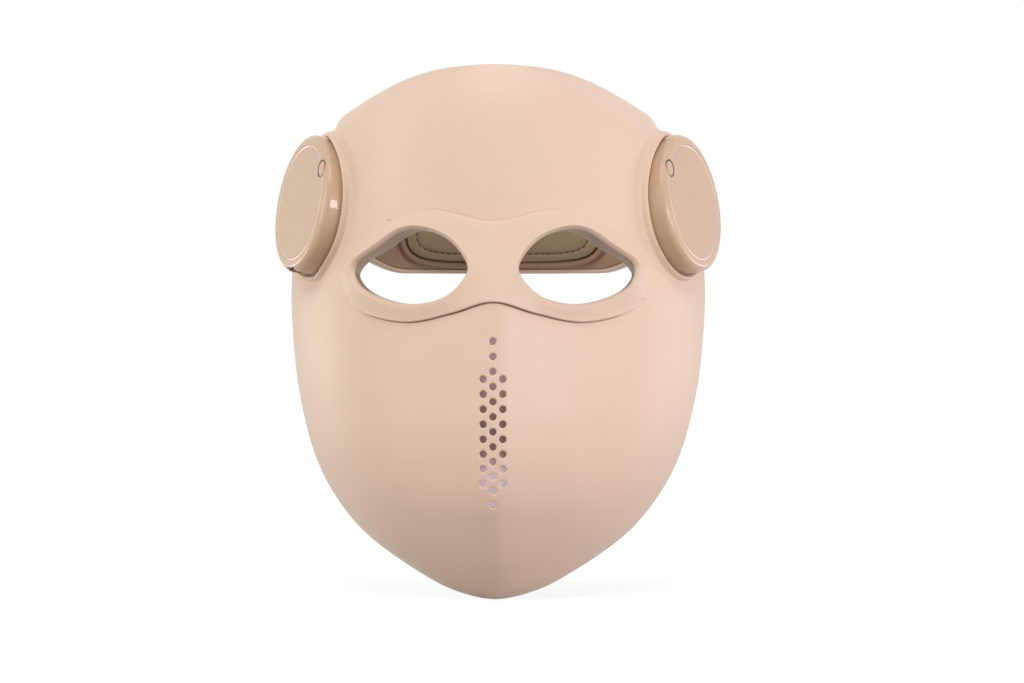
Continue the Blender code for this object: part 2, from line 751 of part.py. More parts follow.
def pod_bore(name, side, wider=0.0):
    """The round space that a pod takes, from outside the mask to its inner face and past it."""
    radius = POD_RADIUS + FIT + wider
    line = [(0.0, OVERRUN), (radius, OVERRUN), (radius, -POD_DEPTH - OVERRUN), (0.0, -POD_DEPTH - OVERRUN)]
    return turned(name, line, pod_frame(side), None)


def frame_loop():
    """The figure-of-eight outline of the eye surround."""
    half = [(FRAME_HALF_WIDTH * w, frame_top - FRAME_HEIGHT * d) for w, d in frame_shares]
    return closed_curve(mirrored_loop(half), EYE_STEPS)


def make_eye_frame():
    margin = FRAME_HALF_WIDTH / 20
    right = FRAME_HALF_WIDTH + margin
    top = frame_top + margin
    low = frame_top - FRAME_HEIGHT - margin
    corners = ((-right, top), (right, top), (right, low), (-right, low))
    thick = FRAME_RISE + SHELL_WALL
    frame = face_patch("eye_frame", corners, FRAME_COLUMNS, FRAME_ROWS, -FRAME_RISE, thick, champagne())
    outline = prism("frame_outline", frame_loop(), FRONT_PLANE, REAR_PLANE)
    tunnels = [tunnel_solid(f"tunnel_{side}", sign) for side, sign in SIDES.items()]
    holes = [eye_cutter(f"frame_eye_{side}", sign, 0.0) for side, sign in SIDES.items()]
    boolean(frame, "INTERSECT", [outline], "MANIFOLD")
    boolean(frame, "UNION", tunnels, "MANIFOLD")
    boolean(frame, "DIFFERENCE", holes, "MANIFOLD")
    return frame


def make_vent_liner():
    bottom = min(z for _, z in vent_places()) - LINER_MARGIN
    top = vent_top + LINER_MARGIN
    half = VENT_SIDE_OFFSET + LINER_MARGIN
    corners = ((-half, top), (half, top), (half, bottom), (-half, bottom))
    finish = material("frosted_diffuser", "CFC3C0", 0.6)
    inset = SHELL_WALL + LINER_SEAT
    face_patch("vent_liner", corners, LINER_COLUMNS, LINER_ROWS, inset, LINER_THICKNESS, finish)


def make_inner_panel():
    finish = material("clear_polycarbonate", "E9ECEC", 0.25)
    margin = SHELL_WALL + PANEL_EDGE_GAP
    low = PANEL_INSET + PANEL_THICKNESS
    rings = [face_ring(share, margin, PANEL_INSET) for share in (*face_ring_shares, 1.0)]
    rings += [face_ring(share, margin, low) for share in (1.0, *face_ring_shares[::-1])]
    tips = (face_tip(PANEL_INSET), face_tip(low))
    panel = from_rings("inner_panel", rings, finish, first=tips[0], last=tips[1])
    tools = []
    for side, sign in SIDES.items():
        tools.append(pod_bore(f"panel_bore_{side}", side, COLLAR_WIDTH + GAP))
        tools.append(eye_cutter(f"panel_eye_{side}", sign, TUNNEL_WALL + FIT))
    for index, place in enumerate(panel_screw_places()):
        hole = SCREW_RADIUS + GAP
        line = [(0.0, -SHELL_WALL), (hole, -SHELL_WALL), (hole, SHELL_WALL * 2), (0.0, SHELL_WALL * 2)]
        frame = normal_frame(place, PANEL_INSET)
        tools.append(turned(f"panel_hole_{index}", line, frame, None, SCREW_STEPS))
    boolean(panel, "DIFFERENCE", tools)


def make_panel_screws():
    for index, place in enumerate(panel_screw_places()):
        x, z = place
        at = Vector(face_points(x, z, PANEL_INSET + PANEL_THICKNESS + HEAD_SEAT))
        along = -Vector(inward_normal(np.array(x), np.array(z)))
        screw(f"panel_screw_{index + 1}", at, along, SCREW_LENGTH, steel())


def make_led_board(name, corners, columns, rows):
    """A thin board that follows the face, with a square LED raised on every other cell."""
    back = PANEL_INSET - BOARD_SEAT - LED_HEIGHT - BOARD_THICKNESS
    board = face_patch(name, corners, columns, rows, back, BOARD_THICKNESS, circuit_board())
    shape = bmesh.new()
    shape.from_mesh(board.data)
    shape.faces.ensure_lookup_table()
    cells = [r * columns + c for r in range(rows) for c in range(columns) if (r + c) % 2 == 0]
    lit = [shape.faces[2 * cell + 1] for cell in cells]
    bmesh.ops.inset_individual(shape, faces=lit, thickness=LED_BORDER, use_even_offset=True)
    raised = bmesh.ops.extrude_discrete_faces(shape, faces=lit)["faces"]
    for face in raised:
        bmesh.ops.translate(shape, verts=face.verts, vec=face.normal * LED_HEIGHT)
    shape.to_mesh(board.data)
    shape.free()


def make_led_boards():
    for name, (columns, rows) in board_cells.items():
        corners = [(MASK_HALF_WIDTH * w, MASK_TOP - MASK_HEIGHT * d) for w, d in board_shares[name]]
        make_led_board(name, corners, columns, rows)


def smooth_route(points, steps):
    """Points along a smooth open curve through the route's own points."""
    padded = [2 * points[0] - points[1], *points, 2 * points[-1] - points[-2]]
    found = []
    for i in range(1, len(padded) - 2):
        p0, p1, p2, p3 = padded[i - 1 : i + 3]
        for n in range(steps):
            t = n / steps
            found.append(
                0.5 * (2 * p1 + (p2 - p0) * t + (2 * p0 - 5 * p1 + 4 * p2 - p3) * t**2
                       + (3 * p1 - p0 - 3 * p2 + p3) * t**3)
            )
    return [*found, points[-1]]


def make_harness():
    """The cable between the pods, laid over the brow between the shell and the LED board."""
    frames = harness_holes()
    ends = {
        side: [frame @ Vector((0.0, 0.0, COLLAR_WIDTH * share)) for share in harness_exit_shares]
        for side, frame in frames.items()
    }
    brow = [
        Vector(face_points(harness_half_width * share, harness_z, HARNESS_INSET))
        for share in harness_shares
    ]
    route = smooth_route([*ends["right"], *brow, *ends["left"][::-1]], HARNESS_STEPS)
    data = bpy.data.curves.new("wire_harness", "CURVE")
    data.dimensions = "3D"
    data.bevel_depth = HARNESS_RADIUS
    data.bevel_resolution = 1
    data.use_fill_caps = True
    spline = data.splines.new("POLY")
    spline.points.add(len(route) - 1)
    for point, at in zip(spline.points, route):
        point.co = (*at, 1.0)
    cable = bpy.data.objects.new("wire_harness", data)
    data.materials.append(material("grey_cable_sheath", "8F8B88", 0.5))
    bpy.context.scene.collection.objects.link(cable)


def make_face_pads():
    """The soft pieces that touch the wearer: nose pad, brow pad and a light shield round each eye."""
    inset = PANEL_INSET + PANEL_THICKNESS + SOFT_SEAT
    pads = (
        ("nose_pad", NOSE_PAD_HALF_WIDTH, nose_pad_top, NOSE_PAD_LENGTH, True),
        ("forehead_pad", BROW_PAD_HALF_WIDTH, brow_pad_top, BROW_PAD_LENGTH, False),
    )
    for name, half, top, length, saddle in pads:
        low = top - length
        corners = ((-half, top), (half, top), (half, low), (-half, low))
        face_patch(name, corners, SOFT_COLUMNS, SOFT_ROWS, inset, SOFT_THICKNESS, silicone(), saddle)
    for side, sign in SIDES.items():
        near = TUNNEL_WALL + FIT
        far = near + SHIELD_WIDTH
        inner = eye_loop(sign, rear_eye_shares, near)
        outer = eye_loop(sign, rear_eye_shares, far)
        lip = eye_loop(sign, rear_eye_shares, (near + far) / 2)
        rings = [
            on_face(inner, inset), on_face(outer, inset),
            on_face(outer, inset, SHIELD_DEPTH / 2), on_face(lip, inset, SHIELD_DEPTH),
            on_face(inner, inset, SHIELD_DEPTH / 2),
        ]
        from_rings(f"eye_shield_{side}", rings, silicone(), joined=True)


def seat_origin(made, frame):
    """Puts the object's origin and axes at the frame, with its shape left where it is."""
    made.data.transform(frame.inverted())
    made.matrix_world = frame


def button_frame(side):
    along = forward_sign(side) * math.cos(BUTTON_ANGLE) * inlay_radius
    return pod_frame(side) @ Matrix.Translation((along, math.sin(BUTTON_ANGLE) * inlay_radius, 0.0))


def make_pod_cap(side):
    frame = pod_frame(side)
    groove = INLAY_WIDTH / 2 + GAP
    deep = INLAY_THICKNESS + GAP
    line = [
        (0.0, 0.0), (inlay_radius - groove, 0.0), (inlay_radius - groove, -deep),
        (inlay_radius + groove, -deep), (inlay_radius + groove, 0.0),
        *edge_arc(POD_RADIUS, 0.0, POD_EDGE),
        (POD_RADIUS, -CAP_SKIRT), (POD_RADIUS - CAP_SIDE, -CAP_SKIRT),
        (POD_RADIUS - CAP_SIDE, -CAP_WALL), (0.0, -CAP_WALL),
    ]
    cap = turned(f"pod_cap_{side}", line, frame, lacquer())
    hole = BUTTON_RADIUS + FIT
    bore = [(0.0, CAP_WALL), (hole, CAP_WALL), (hole, -CAP_WALL * 2), (0.0, -CAP_WALL * 2)]
    tools = [turned(f"button_hole_{side}", bore, button_frame(side), None, SMALL_STEPS)]
    if side == "right":
        half = SOCKET_WIDTH / 2 + FIT
        low = (-half, -POD_RADIUS - OVERRUN, socket_base - FIT)
        high = (half, -POD_RADIUS + CAP_SIDE * 2, socket_base + SOCKET_HEIGHT + FIT)
        tools.append(block("port_slot", low, high, frame, None))
    boolean(cap, "DIFFERENCE", tools)
    low = -GAP - INLAY_THICKNESS + BUTTON_SUNK
    ring = [
        (inlay_radius - INLAY_WIDTH / 2, low), (inlay_radius + INLAY_WIDTH / 2, low),
        (inlay_radius + INLAY_WIDTH / 2, low + INLAY_THICKNESS),
        (inlay_radius - INLAY_WIDTH / 2, low + INLAY_THICKNESS),
    ]
    inlay = turned(
        f"inlay_ring_{side}", ring, frame, material("rose_inlay", "E3C4BC", 0.3), joined=True
    )
    gap = [(0.0, CAP_WALL), (hole, CAP_WALL), (hole, -CAP_WALL), (0.0, -CAP_WALL)]
    boolean(inlay, "DIFFERENCE", [turned(f"inlay_gap_{side}", gap, button_frame(side), None, SMALL_STEPS)])


def make_button(side):
    name = "power_button" if side == "right" else "mode_button"
    round_by = BUTTON_SUNK * 2
    line = [
        (0.0, -BUTTON_SUNK), *edge_arc(BUTTON_RADIUS, -BUTTON_SUNK, round_by, 2),
        (BUTTON_RADIUS, -BUTTON_DEPTH), (BUTTON_STEM_RADIUS, -BUTTON_DEPTH),
        (BUTTON_STEM_RADIUS, -BUTTON_DEPTH - BUTTON_STEM), (0.0, -BUTTON_DEPTH - BUTTON_STEM),
    ]
    button = turned(name, line, button_frame(side), lacquer(), SMALL_STEPS)
    seat_origin(button, button_frame(side))


floor_height = CUP_FLOOR - POD_DEPTH
board_base = floor_height + GAP + BATTERY_THICKNESS + GAP
socket_base = board_base + POD_BOARD_THICKNESS + GAP
spigot_radius = POD_RADIUS - CAP_SIDE - GAP
cup_radius = spigot_radius - CUP_WALL


def make_pod_housing(side):
    sign = SIDES[side]
    frame = pod_frame(side)
    top = -CAP_SKIRT - GAP
    line = [
        (0.0, -POD_DEPTH), (POD_RADIUS - CUP_EDGE, -POD_DEPTH), (POD_RADIUS, CUP_EDGE - POD_DEPTH),
        (POD_RADIUS, top), (spigot_radius, top), (spigot_radius, -SPIGOT_TOP), (0.0, -SPIGOT_TOP),
    ]
    housing = turned(f"pod_housing_{side}", line, frame, white_plastic())
    axis = axis_frame((sign * BOSS_FACE_X, 0.0, 0.0), (sign, 0.0, 0.0))
    boss = [(0.0, 0.0), (BOSS_RADIUS, 0.0), (BOSS_RADIUS, BOSS_LENGTH), (0.0, BOSS_LENGTH)]
    boolean(housing, "UNION", [turned(f"pivot_boss_{side}", boss, axis, None, SMALL_STEPS)])
    hole = PIN_RADIUS + GAP
    bore = [(0.0, -BOSS_LENGTH), (hole, -BOSS_LENGTH), (hole, PIN_DEPTH + GAP), (0.0, PIN_DEPTH + GAP)]
    ledge = board_base - GAP
    cavity = [
        (0.0, 0.0), (cup_radius, 0.0), (cup_radius, ledge), (cup_radius - LEDGE_WIDTH, ledge),
        (cup_radius - LEDGE_WIDTH, floor_height), (0.0, floor_height),
    ]
    tools = [
        turned(f"pivot_bore_{side}", bore, axis, None, SCREW_STEPS),
        turned(f"pod_cavity_{side}", cavity, frame, None),
    ]
    boolean(housing, "DIFFERENCE", tools)


def make_pod_inside(side):
    frame = pod_frame(side)
    half_wide = BATTERY_WIDTH / 2
    half_long = math.sqrt((cup_radius - LEDGE_WIDTH - BATTERY_CLEARANCE) ** 2 - half_wide**2)
    low = floor_height + GAP
    cell = material("silver_battery_wrap", "B8BCC2", 0.35)
    corner_low = (-half_long, -half_wide, low)
    corner_high = (half_long, half_wide, low + BATTERY_THICKNESS)
    block(f"battery_cell_{side}", corner_low, corner_high, frame, cell)
    green = material("green_circuit_board", "2F6B4A", 0.4)
    radius = cup_radius - FIT
    high = board_base + POD_BOARD_THICKNESS
    line = [(0.0, board_base), (radius, board_base), (radius, high), (0.0, high)]
    turned("main_board" if side == "right" else "driver_board", line, frame, green, SMALL_STEPS * 2)
    black = material("black_moulded_nylon", "1E1E1E", 0.4)
    half = SWITCH_SIDE / 2
    top = -BUTTON_DEPTH - BUTTON_STEM - BUTTON_TRAVEL - SWITCH_AIR
    block(f"button_switch_{side}", (-half, -half, socket_base), (half, half, top), button_frame(side), black)
    if side == "right":
        half = SOCKET_WIDTH / 2
        low = (-half, -POD_RADIUS + SOCKET_SETBACK, socket_base)
        high = (half, -POD_RADIUS + SOCKET_SETBACK + SOCKET_LENGTH, socket_base + SOCKET_HEIGHT)
        socket = block("charge_socket", low, high, frame, steel())
        wall = GAP
        hollow = block(
            "socket_mouth",
            (low[0] + wall, low[1] - wall, low[2] + wall),
            (high[0] - wall, high[1] - wall * 3, high[2] - wall),
            frame,
            None,
        )
        boolean(socket, "DIFFERENCE", [hollow])
    else:
        line = [
            (0.0, socket_base), (BUZZER_RADIUS, socket_base),
            (BUZZER_RADIUS, socket_base + BUZZER_HEIGHT), (0.0, socket_base + BUZZER_HEIGHT),
        ]
        turned("buzzer", line, frame, black, SMALL_STEPS)


def make_pivot(side):
    sign = SIDES[side]
    axis = axis_frame((sign * BOSS_FACE_X, 0.0, 0.0), (-sign, 0.0, 0.0))
    inner = PIN_RADIUS + GAP
    near = GAP
    far = GAP + WASHER_THICKNESS
    ring = [(inner, near), (WASHER_RADIUS, near), (WASHER_RADIUS, far), (inner, far)]
    nylon = material("natural_nylon", "E9E4D8", 0.5)
    turned(f"friction_washer_{side}", ring, axis, nylon, SMALL_STEPS, joined=True)
    head = far + GAP + ARM_THICKNESS + GAP
    line = [
        (0.0, -PIN_DEPTH), (PIN_RADIUS, -PIN_DEPTH), (PIN_RADIUS, head), (PIN_HEAD_RADIUS, head),
        (PIN_HEAD_RADIUS, head + PIN_HEAD_THICKNESS / 2),
        (PIN_HEAD_RADIUS - PIN_HEAD_THICKNESS / 2, head + PIN_HEAD_THICKNESS),
        (0.0, head + PIN_HEAD_THICKNESS),
    ]
    turned(f"pivot_pin_{side}", line, axis, steel(), SMALL_STEPS)


def make_arm(side, pivot):
    """A flat arm from the temple pivot, joggled outwards, whose blade slides in the rear band."""
    sign = SIDES[side]
    root_x = BOSS_FACE_X - GAP - WASHER_THICKNESS - GAP - ARM_THICKNESS / 2
    stations = []
    for i in range(ROUND_END_STEPS):
        turn = math.pi / 2 * (i + 0.5) / ROUND_END_STEPS
        stations.append((-ARM_ROOT_RADIUS * math.cos(turn), root_x, ARM_ROOT_RADIUS * math.sin(turn)))
    for i in range(JOGGLE_STEPS + 1):
        share = i / JOGGLE_STEPS
        ease = share * share * (3 - 2 * share)
        x = root_x + (ARM_LINE_X - root_x) * ease
        half = ARM_ROOT_RADIUS + (ARM_HALF_HEIGHT - ARM_ROOT_RADIUS) * ease
        stations.append((JOGGLE_START + JOGGLE_LENGTH * share, x, half))
    stations.append((BLADE_END - ARM_ROOT_RADIUS / 2, ARM_LINE_X, ARM_HALF_HEIGHT))
    stations.append((BLADE_END, ARM_LINE_X, ARM_HALF_HEIGHT - ARM_ROOT_RADIUS / 2))
    thin = ARM_THICKNESS / 2
    rings = [
        [(sign * (x + dx), y, dz * half) for dx, dz in ((-thin, -1), (thin, -1), (thin, 1), (-thin, 1))]
        for y, x, half in stations
    ]
    arm = from_rings(f"arm_{side}", rings, champagne())
    hole = PIN_RADIUS + GAP
    reach = ARM_THICKNESS * 2
    bore = [(0.0, -reach), (hole, -reach), (hole, reach), (0.0, reach)]
    axis = axis_frame((sign * root_x, 0.0, 0.0), (sign, 0.0, 0.0))
    boolean(arm, "DIFFERENCE", [turned(f"arm_bore_{side}", bore, axis, None, SMALL_STEPS)])
    arm.parent = pivot


# The rear band follows one line: straight along the arms, then half an ellipse round the head
def band_line():
    turn = np.linspace(math.pi / 2, 0.0, CURVE_SAMPLES // 2)
    curve = np.stack(
        [ARM_LINE_X * np.cos(turn), CURVE_START + (REAR_REACH - CURVE_START) * np.sin(turn)], axis=1
    )
    line = np.vstack([curve, [[ARM_LINE_X, SLEEVE_START]]])
    run = np.concatenate([[0.0], np.cumsum(np.linalg.norm(np.diff(line, axis=0), axis=1))])
    return line, run


band_xy, band_run = band_line()
half_band = float(band_run[-1])
channel = ARM_THICKNESS / 2 + FIT
liner_face = channel + LINER_WALL


def band_point(run, inward, height):
    """A point of the rear band: distance along its line from the middle, inwards, and up."""
    at = abs(run)
    probe = half_band / 1000
    x = np.interp(at, band_run, band_xy[:, 0])
    y = np.interp(at, band_run, band_xy[:, 1])
    low = min(max(at - probe, 0.0), half_band - 2 * probe)
    dx = np.interp(low + 2 * probe, band_run, band_xy[:, 0]) - np.interp(low, band_run, band_xy[:, 0])
    dy = np.interp(low + 2 * probe, band_run, band_xy[:, 1]) - np.interp(low, band_run, band_xy[:, 1])
    if at < probe:
        dy = 0.0
    size = math.hypot(dx, dy)
    x += inward * dy / size
    y -= inward * dx / size
    return (math.copysign(x, run) if run else x, y, height)


def band_half(run):
    """Half the height of the band at a distance from its middle."""
    share = min(max((abs(run) - FULL_HEIGHT_RUN) / TAPER_LENGTH, 0.0), 1.0)
    ease = share * share * (3 - 2 * share)
    return BAND_HALF_HEIGHT + (SLEEVE_HALF_HEIGHT - BAND_HALF_HEIGHT) * ease


def band_body(name, section, finish):
    """A body whose (inward, height) section, made from half the height, runs along the band."""
    rings = []
    for i in range(BAND_STATIONS + 1):
        run = half_band * (2 * i / BAND_STATIONS - 1)
        rings.append([band_point(run, inward, height) for inward, height in section(band_half(run))])
    return from_rings(name, rings, finish)


def shell_section(half):
    back = -channel - BAND_WALL
    round_by = BAND_CORNER
    soft = round_by * (1 - math.sqrt(0.5))
    top = [(back, half - round_by), (back + soft, half - soft), (back + round_by, half)]
    inside = [(liner_face, half), (liner_face, half - BAND_LIP), (-channel, half - BAND_LIP)]
    upper = [*top, *inside]
    return [*upper, *[(inward, -height) for inward, height in upper[::-1]]]


def liner_section(half):
    top = half - BAND_LIP - FIT
    return [(channel, -top), (liner_face, -top), (liner_face, top), (channel, top)]


def band_screw_places():
    return [
        (sign * BAND_SCREW_RUN, rise * BAND_SCREW_RISE) for sign in SIDES.values() for rise in (-1, 1)
    ]


def band_frame(run, inward, height):
    """A frame on the band whose third axis points inwards, to the head."""
    at = Vector(band_point(run, inward, height))
    towards = Vector(band_point(run, inward + channel, height)) - at
    return axis_frame(at, towards)


def make_rear_band(cradle):
    shell = band_body("rear_band_shell", shell_section, champagne())
    posts = []
    for index, (run, height) in enumerate(band_screw_places()):
        frame = band_frame(run, -channel, height)
        hole = SCREW_RADIUS + GAP
        top = 2 * channel - GAP
        line = [
            (0.0, -BAND_WALL / 2), (SCREW_BOSS_RADIUS, -BAND_WALL / 2), (SCREW_BOSS_RADIUS, top),
            (hole, top), (hole, GAP), (0.0, GAP),
        ]
        posts.append(turned(f"band_post_{index}", line, frame, None, SCREW_STEPS))
    boolean(shell, "UNION", posts)
    cover = band_body("rear_band_cover", liner_section, champagne())
    holes = []
    for index, (run, height) in enumerate(band_screw_places()):
        frame = band_frame(run, channel, height)
        hole = SCREW_RADIUS + GAP
        line = [(0.0, -LINER_WALL), (hole, -LINER_WALL), (hole, LINER_WALL * 2), (0.0, LINER_WALL * 2)]
        holes.append(turned(f"cover_hole_{index}", line, frame, None, SCREW_STEPS))
        at = Vector(band_point(run, liner_face + HEAD_SEAT, height))
        along = Vector(band_point(run, liner_face, height)) - at
        made = screw(f"band_screw_{index + 1}", at, along, BAND_SCREW_LENGTH, steel())
        made.parent = cradle
    boolean(cover, "DIFFERENCE", holes)
    shell.parent = cradle
    cover.parent = cradle


def pad_loop(grow):
    """The rounded outline of the head pad along and across the band."""
    turn = np.linspace(0.0, 2 * math.pi, CURVE_SAMPLES, endpoint=False)
    power = 2 / PAD_CORNER_POWER
    run = (PAD_HALF_WIDTH + grow) * np.sign(np.cos(turn)) * np.abs(np.cos(turn)) ** power
    rise = (PAD_HALF_HEIGHT + grow) * np.sign(np.sin(turn)) * np.abs(np.sin(turn)) ** power
    return spread_evenly(np.stack([run, rise], axis=1), PAD_SEGMENTS)


def pad_ring(share, inward, grow=0.0):
    return [band_point(run * share, inward, rise * share) for run, rise in pad_loop(grow)]


def make_head_pad(cradle):
    smaller = -BEZEL_WIDTH
    board_back = liner_face + PAD_SEAT
    board_face = board_back + PAD_BOARD_THICKNESS
    rings = [pad_ring(share, board_back, smaller) for share in pad_back_shares]
    rings += [pad_ring(share, board_face, smaller) for share in pad_back_shares[::-1]]
    tips = (band_point(0.0, board_back, 0.0), band_point(0.0, board_face, 0.0))
    board = from_rings("pad_board", rings, white_plastic(), first=tips[0], last=tips[1])
    back = board_face + PAD_SEAT
    rings = [pad_ring(share, back) for share in pad_back_shares]
    rings.append(pad_ring(1.0, back + PAD_EDGE_THICKNESS / 2))
    for share in pad_front_shares:
        rise = (PAD_THICKNESS - PAD_EDGE_THICKNESS) * math.sqrt(1 - share**PAD_CROWN_POWER)
        seam = PAD_SEAM_DEPTH * math.exp(-(((share - PAD_SEAM_SHARE) / PAD_SEAM_WIDTH_SHARE) ** 2))
        rings.append(pad_ring(share, back + PAD_EDGE_THICKNESS + rise - seam))
    tips = (band_point(0.0, back, 0.0), band_point(0.0, back + PAD_THICKNESS, 0.0))
    leather = material("khaki_leatherette", "9A866A", 0.55)
    pad = from_rings("head_pad", rings, leather, first=tips[0], last=tips[1])
    low = liner_face + PAD_SEAT
    high = low + BEZEL_HEIGHT
    rings = [
        pad_ring(1.0, low, FIT), pad_ring(1.0, low, FIT + BEZEL_WIDTH),
        pad_ring(1.0, high - BEZEL_WIDTH / 3, FIT + BEZEL_WIDTH), pad_ring(1.0, high, FIT + BEZEL_WIDTH / 2),
        pad_ring(1.0, high - BEZEL_WIDTH / 3, FIT),
    ]
    bezel = from_rings("pad_bezel", rings, champagne(), joined=True)
    for made in (board, pad, bezel):
        made.parent = cradle


def make_empty(name, parent):
    made = bpy.data.objects.new(name, None)
    bpy.context.scene.collection.objects.link(made)
    made.parent = parent
    return made


def main():
    for old in list(bpy.data.objects):
        bpy.data.objects.remove(old, do_unlink=True)
    make_front_shell()
    make_eye_frame()
    make_vent_liner()
    make_inner_panel()
    make_panel_screws()
    make_led_boards()
    make_harness()
    make_face_pads()
    band_pivot = make_empty("band_pivot", None)
    cradle_slide = make_empty("cradle_slide", band_pivot)
    for side in SIDES:
        make_pod_cap(side)
        make_button(side)
        make_pod_housing(side)
        make_pod_inside(side)
        make_pivot(side)
        make_arm(side, band_pivot)
    make_rear_band(cradle_slide)
    make_head_pad(cradle_slide)


main()
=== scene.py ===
# The looks of the light therapy face mask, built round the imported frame
import math

import bmesh
import bpy
import numpy as np
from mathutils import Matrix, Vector
from mathutils.bvhtree import BVHTree
from mathutils.geometry import delaunay_2d_cdt


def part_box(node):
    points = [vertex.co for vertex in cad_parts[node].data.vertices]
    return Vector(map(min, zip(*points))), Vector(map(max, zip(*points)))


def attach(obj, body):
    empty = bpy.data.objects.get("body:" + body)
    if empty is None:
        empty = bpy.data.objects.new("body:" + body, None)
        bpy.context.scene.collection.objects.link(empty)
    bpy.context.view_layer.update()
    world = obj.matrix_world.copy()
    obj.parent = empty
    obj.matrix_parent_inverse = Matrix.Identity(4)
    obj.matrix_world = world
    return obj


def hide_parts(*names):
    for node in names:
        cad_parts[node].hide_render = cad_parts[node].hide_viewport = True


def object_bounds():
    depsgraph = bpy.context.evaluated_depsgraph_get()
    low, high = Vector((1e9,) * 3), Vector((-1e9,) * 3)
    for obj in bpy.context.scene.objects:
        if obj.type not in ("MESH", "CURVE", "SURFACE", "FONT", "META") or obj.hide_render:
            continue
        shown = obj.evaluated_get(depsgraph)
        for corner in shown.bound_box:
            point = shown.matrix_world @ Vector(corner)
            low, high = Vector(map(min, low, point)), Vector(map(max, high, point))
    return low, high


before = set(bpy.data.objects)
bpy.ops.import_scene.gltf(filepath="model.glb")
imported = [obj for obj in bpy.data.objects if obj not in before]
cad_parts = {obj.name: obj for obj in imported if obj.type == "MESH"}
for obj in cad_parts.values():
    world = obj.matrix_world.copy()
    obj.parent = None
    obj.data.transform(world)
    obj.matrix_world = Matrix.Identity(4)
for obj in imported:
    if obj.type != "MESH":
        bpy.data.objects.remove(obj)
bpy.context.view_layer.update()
print("frame loaded")

sides = {"right": -1.0, "left": 1.0}  # the wearer's right is at -X, on the left in the picture


# Small helpers for meshes

def ringFaces(first, second):  # quads between two equal rows of point numbers
    count = len(first)
    return [(first[j], first[(j + 1) % count], second[(j + 1) % count], second[j]) for j in range(count)]


def latheFaces(rows, joined=False):  # faces over rings of points, where a ring of one point is a tip
    faces = []
    starts = np.cumsum([0] + [len(row) for row in rows])
    numbers = [list(range(start, start + len(row))) for start, row in zip(starts, rows)]
    for first, second in zip(numbers, numbers[1:] + numbers[:1] if joined else numbers[1:]):
        if len(first) == 1:
            faces += [(first[0], second[j], second[(j + 1) % len(second)]) for j in range(len(second))]
        elif len(second) == 1:
            faces += [(first[(j + 1) % len(first)], first[j], second[0]) for j in range(len(first))]
        else:
            faces += ringFaces(first, second)
    return faces


def endFaces(rows):  # one face over the first ring and one over the last
    count, total = len(rows[0]), sum(map(len, rows))
    return [tuple(range(count)), tuple(range(total - 1, total - count - 1, -1))]


def addMesh(name, points, faces, cleaned=True):  # cleaned merges doubles and turns the faces outwards
    mesh = bpy.data.meshes.new(name)
    mesh.from_pydata([tuple(map(float, p)) for p in points], [], [tuple(map(int, f)) for f in faces])
    if cleaned:
        shape = bmesh.new()
        shape.from_mesh(mesh)
        bmesh.ops.remove_doubles(shape, verts=shape.verts, dist=1e-7)
        bmesh.ops.recalc_face_normals(shape, faces=shape.faces)
        shape.to_mesh(mesh)
        shape.free()
    made = bpy.data.objects.new(name, mesh)
    bpy.context.scene.collection.objects.link(made)
    return made


def addPiece(name, points, faces, finish, body, replaced, sharp=40.0):
    piece = addMesh(name, points, faces)
    piece.data.shade_smooth()
    piece.data.set_sharp_from_angle(angle=math.radians(sharp))
    piece.data.materials.append(finish)
    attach(piece, body)
    if replaced:
        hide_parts(*replaced)
    return piece


def addRings(name, rows, finish, body, replaced, joined=False, sharp=40.0, ends=False):
    faces = latheFaces(rows, joined) + (endFaces(rows) if ends else [])
    return addPiece(name, np.vstack(rows), faces, finish, body, replaced, sharp)


def smoothStep(value, low, high):
    t = np.clip((np.asarray(value, float) - low) / (high - low), 0.0, 1.0)
    return t * t * (3 - 2 * t)


def unit(vectors):
    return vectors / np.maximum(np.linalg.norm(vectors, axis=-1, keepdims=True), 1e-12)


def smoothCurve(shares):  # a monotone cubic through (place, value) pairs
    x, y = np.array(shares).T
    step = np.diff(x)
    slope = np.diff(y) / step
    tangent = np.zeros(len(x))
    for i in range(1, len(x) - 1):
        if slope[i - 1] * slope[i] > 0:
            before = 2 * step[i] + step[i - 1]
            after = step[i] + 2 * step[i - 1]
            tangent[i] = (before + after) / (before / slope[i - 1] + after / slope[i])
    tangent[0] = slope[0]
    tangent[-1] = slope[-1]

    def value(at):
        at = np.clip(at, x[0], x[-1])
        i = np.clip(np.searchsorted(x, at, side="right") - 1, 0, len(x) - 2)
        t = (at - x[i]) / step[i]
        return ((2 * t**3 - 3 * t**2 + 1) * y[i] + (t**3 - 2 * t**2 + t) * tangent[i] * step[i]
                + (3 * t**2 - 2 * t**3) * y[i + 1] + (t**3 - t**2) * tangent[i + 1] * step[i])

    return value


def closedCurve(points, steps):  # a smooth closed curve through the points
    points = np.asarray(points, float)
    count = len(points)
    found = []
    for i in range(count):
        p0, p1, p2, p3 = (points[(i + k) % count] for k in (-1, 0, 1, 2))
        t1 = np.linalg.norm(p1 - p0) ** 0.5
        t2 = t1 + np.linalg.norm(p2 - p1) ** 0.5
        t3 = t2 + np.linalg.norm(p3 - p2) ** 0.5
        for n in range(steps):
            t = t1 + (t2 - t1) * n / steps
            a1 = ((t1 - t) * p0 + t * p1) / t1
            a2 = ((t2 - t) * p1 + (t - t1) * p2) / (t2 - t1)
            a3 = ((t3 - t) * p2 + (t - t2) * p3) / (t3 - t2)
            b1 = ((t2 - t) * a1 + t * a2) / t2
            b2 = ((t3 - t) * a2 + (t - t1) * a3) / (t3 - t1)
            found.append(((t2 - t) * b1 + (t - t1) * b2) / (t2 - t1))
    return np.array(found)


def mirroredLoop(half):
    return [*half, *[(-x, z) for x, z in half[-2:0:-1]]]


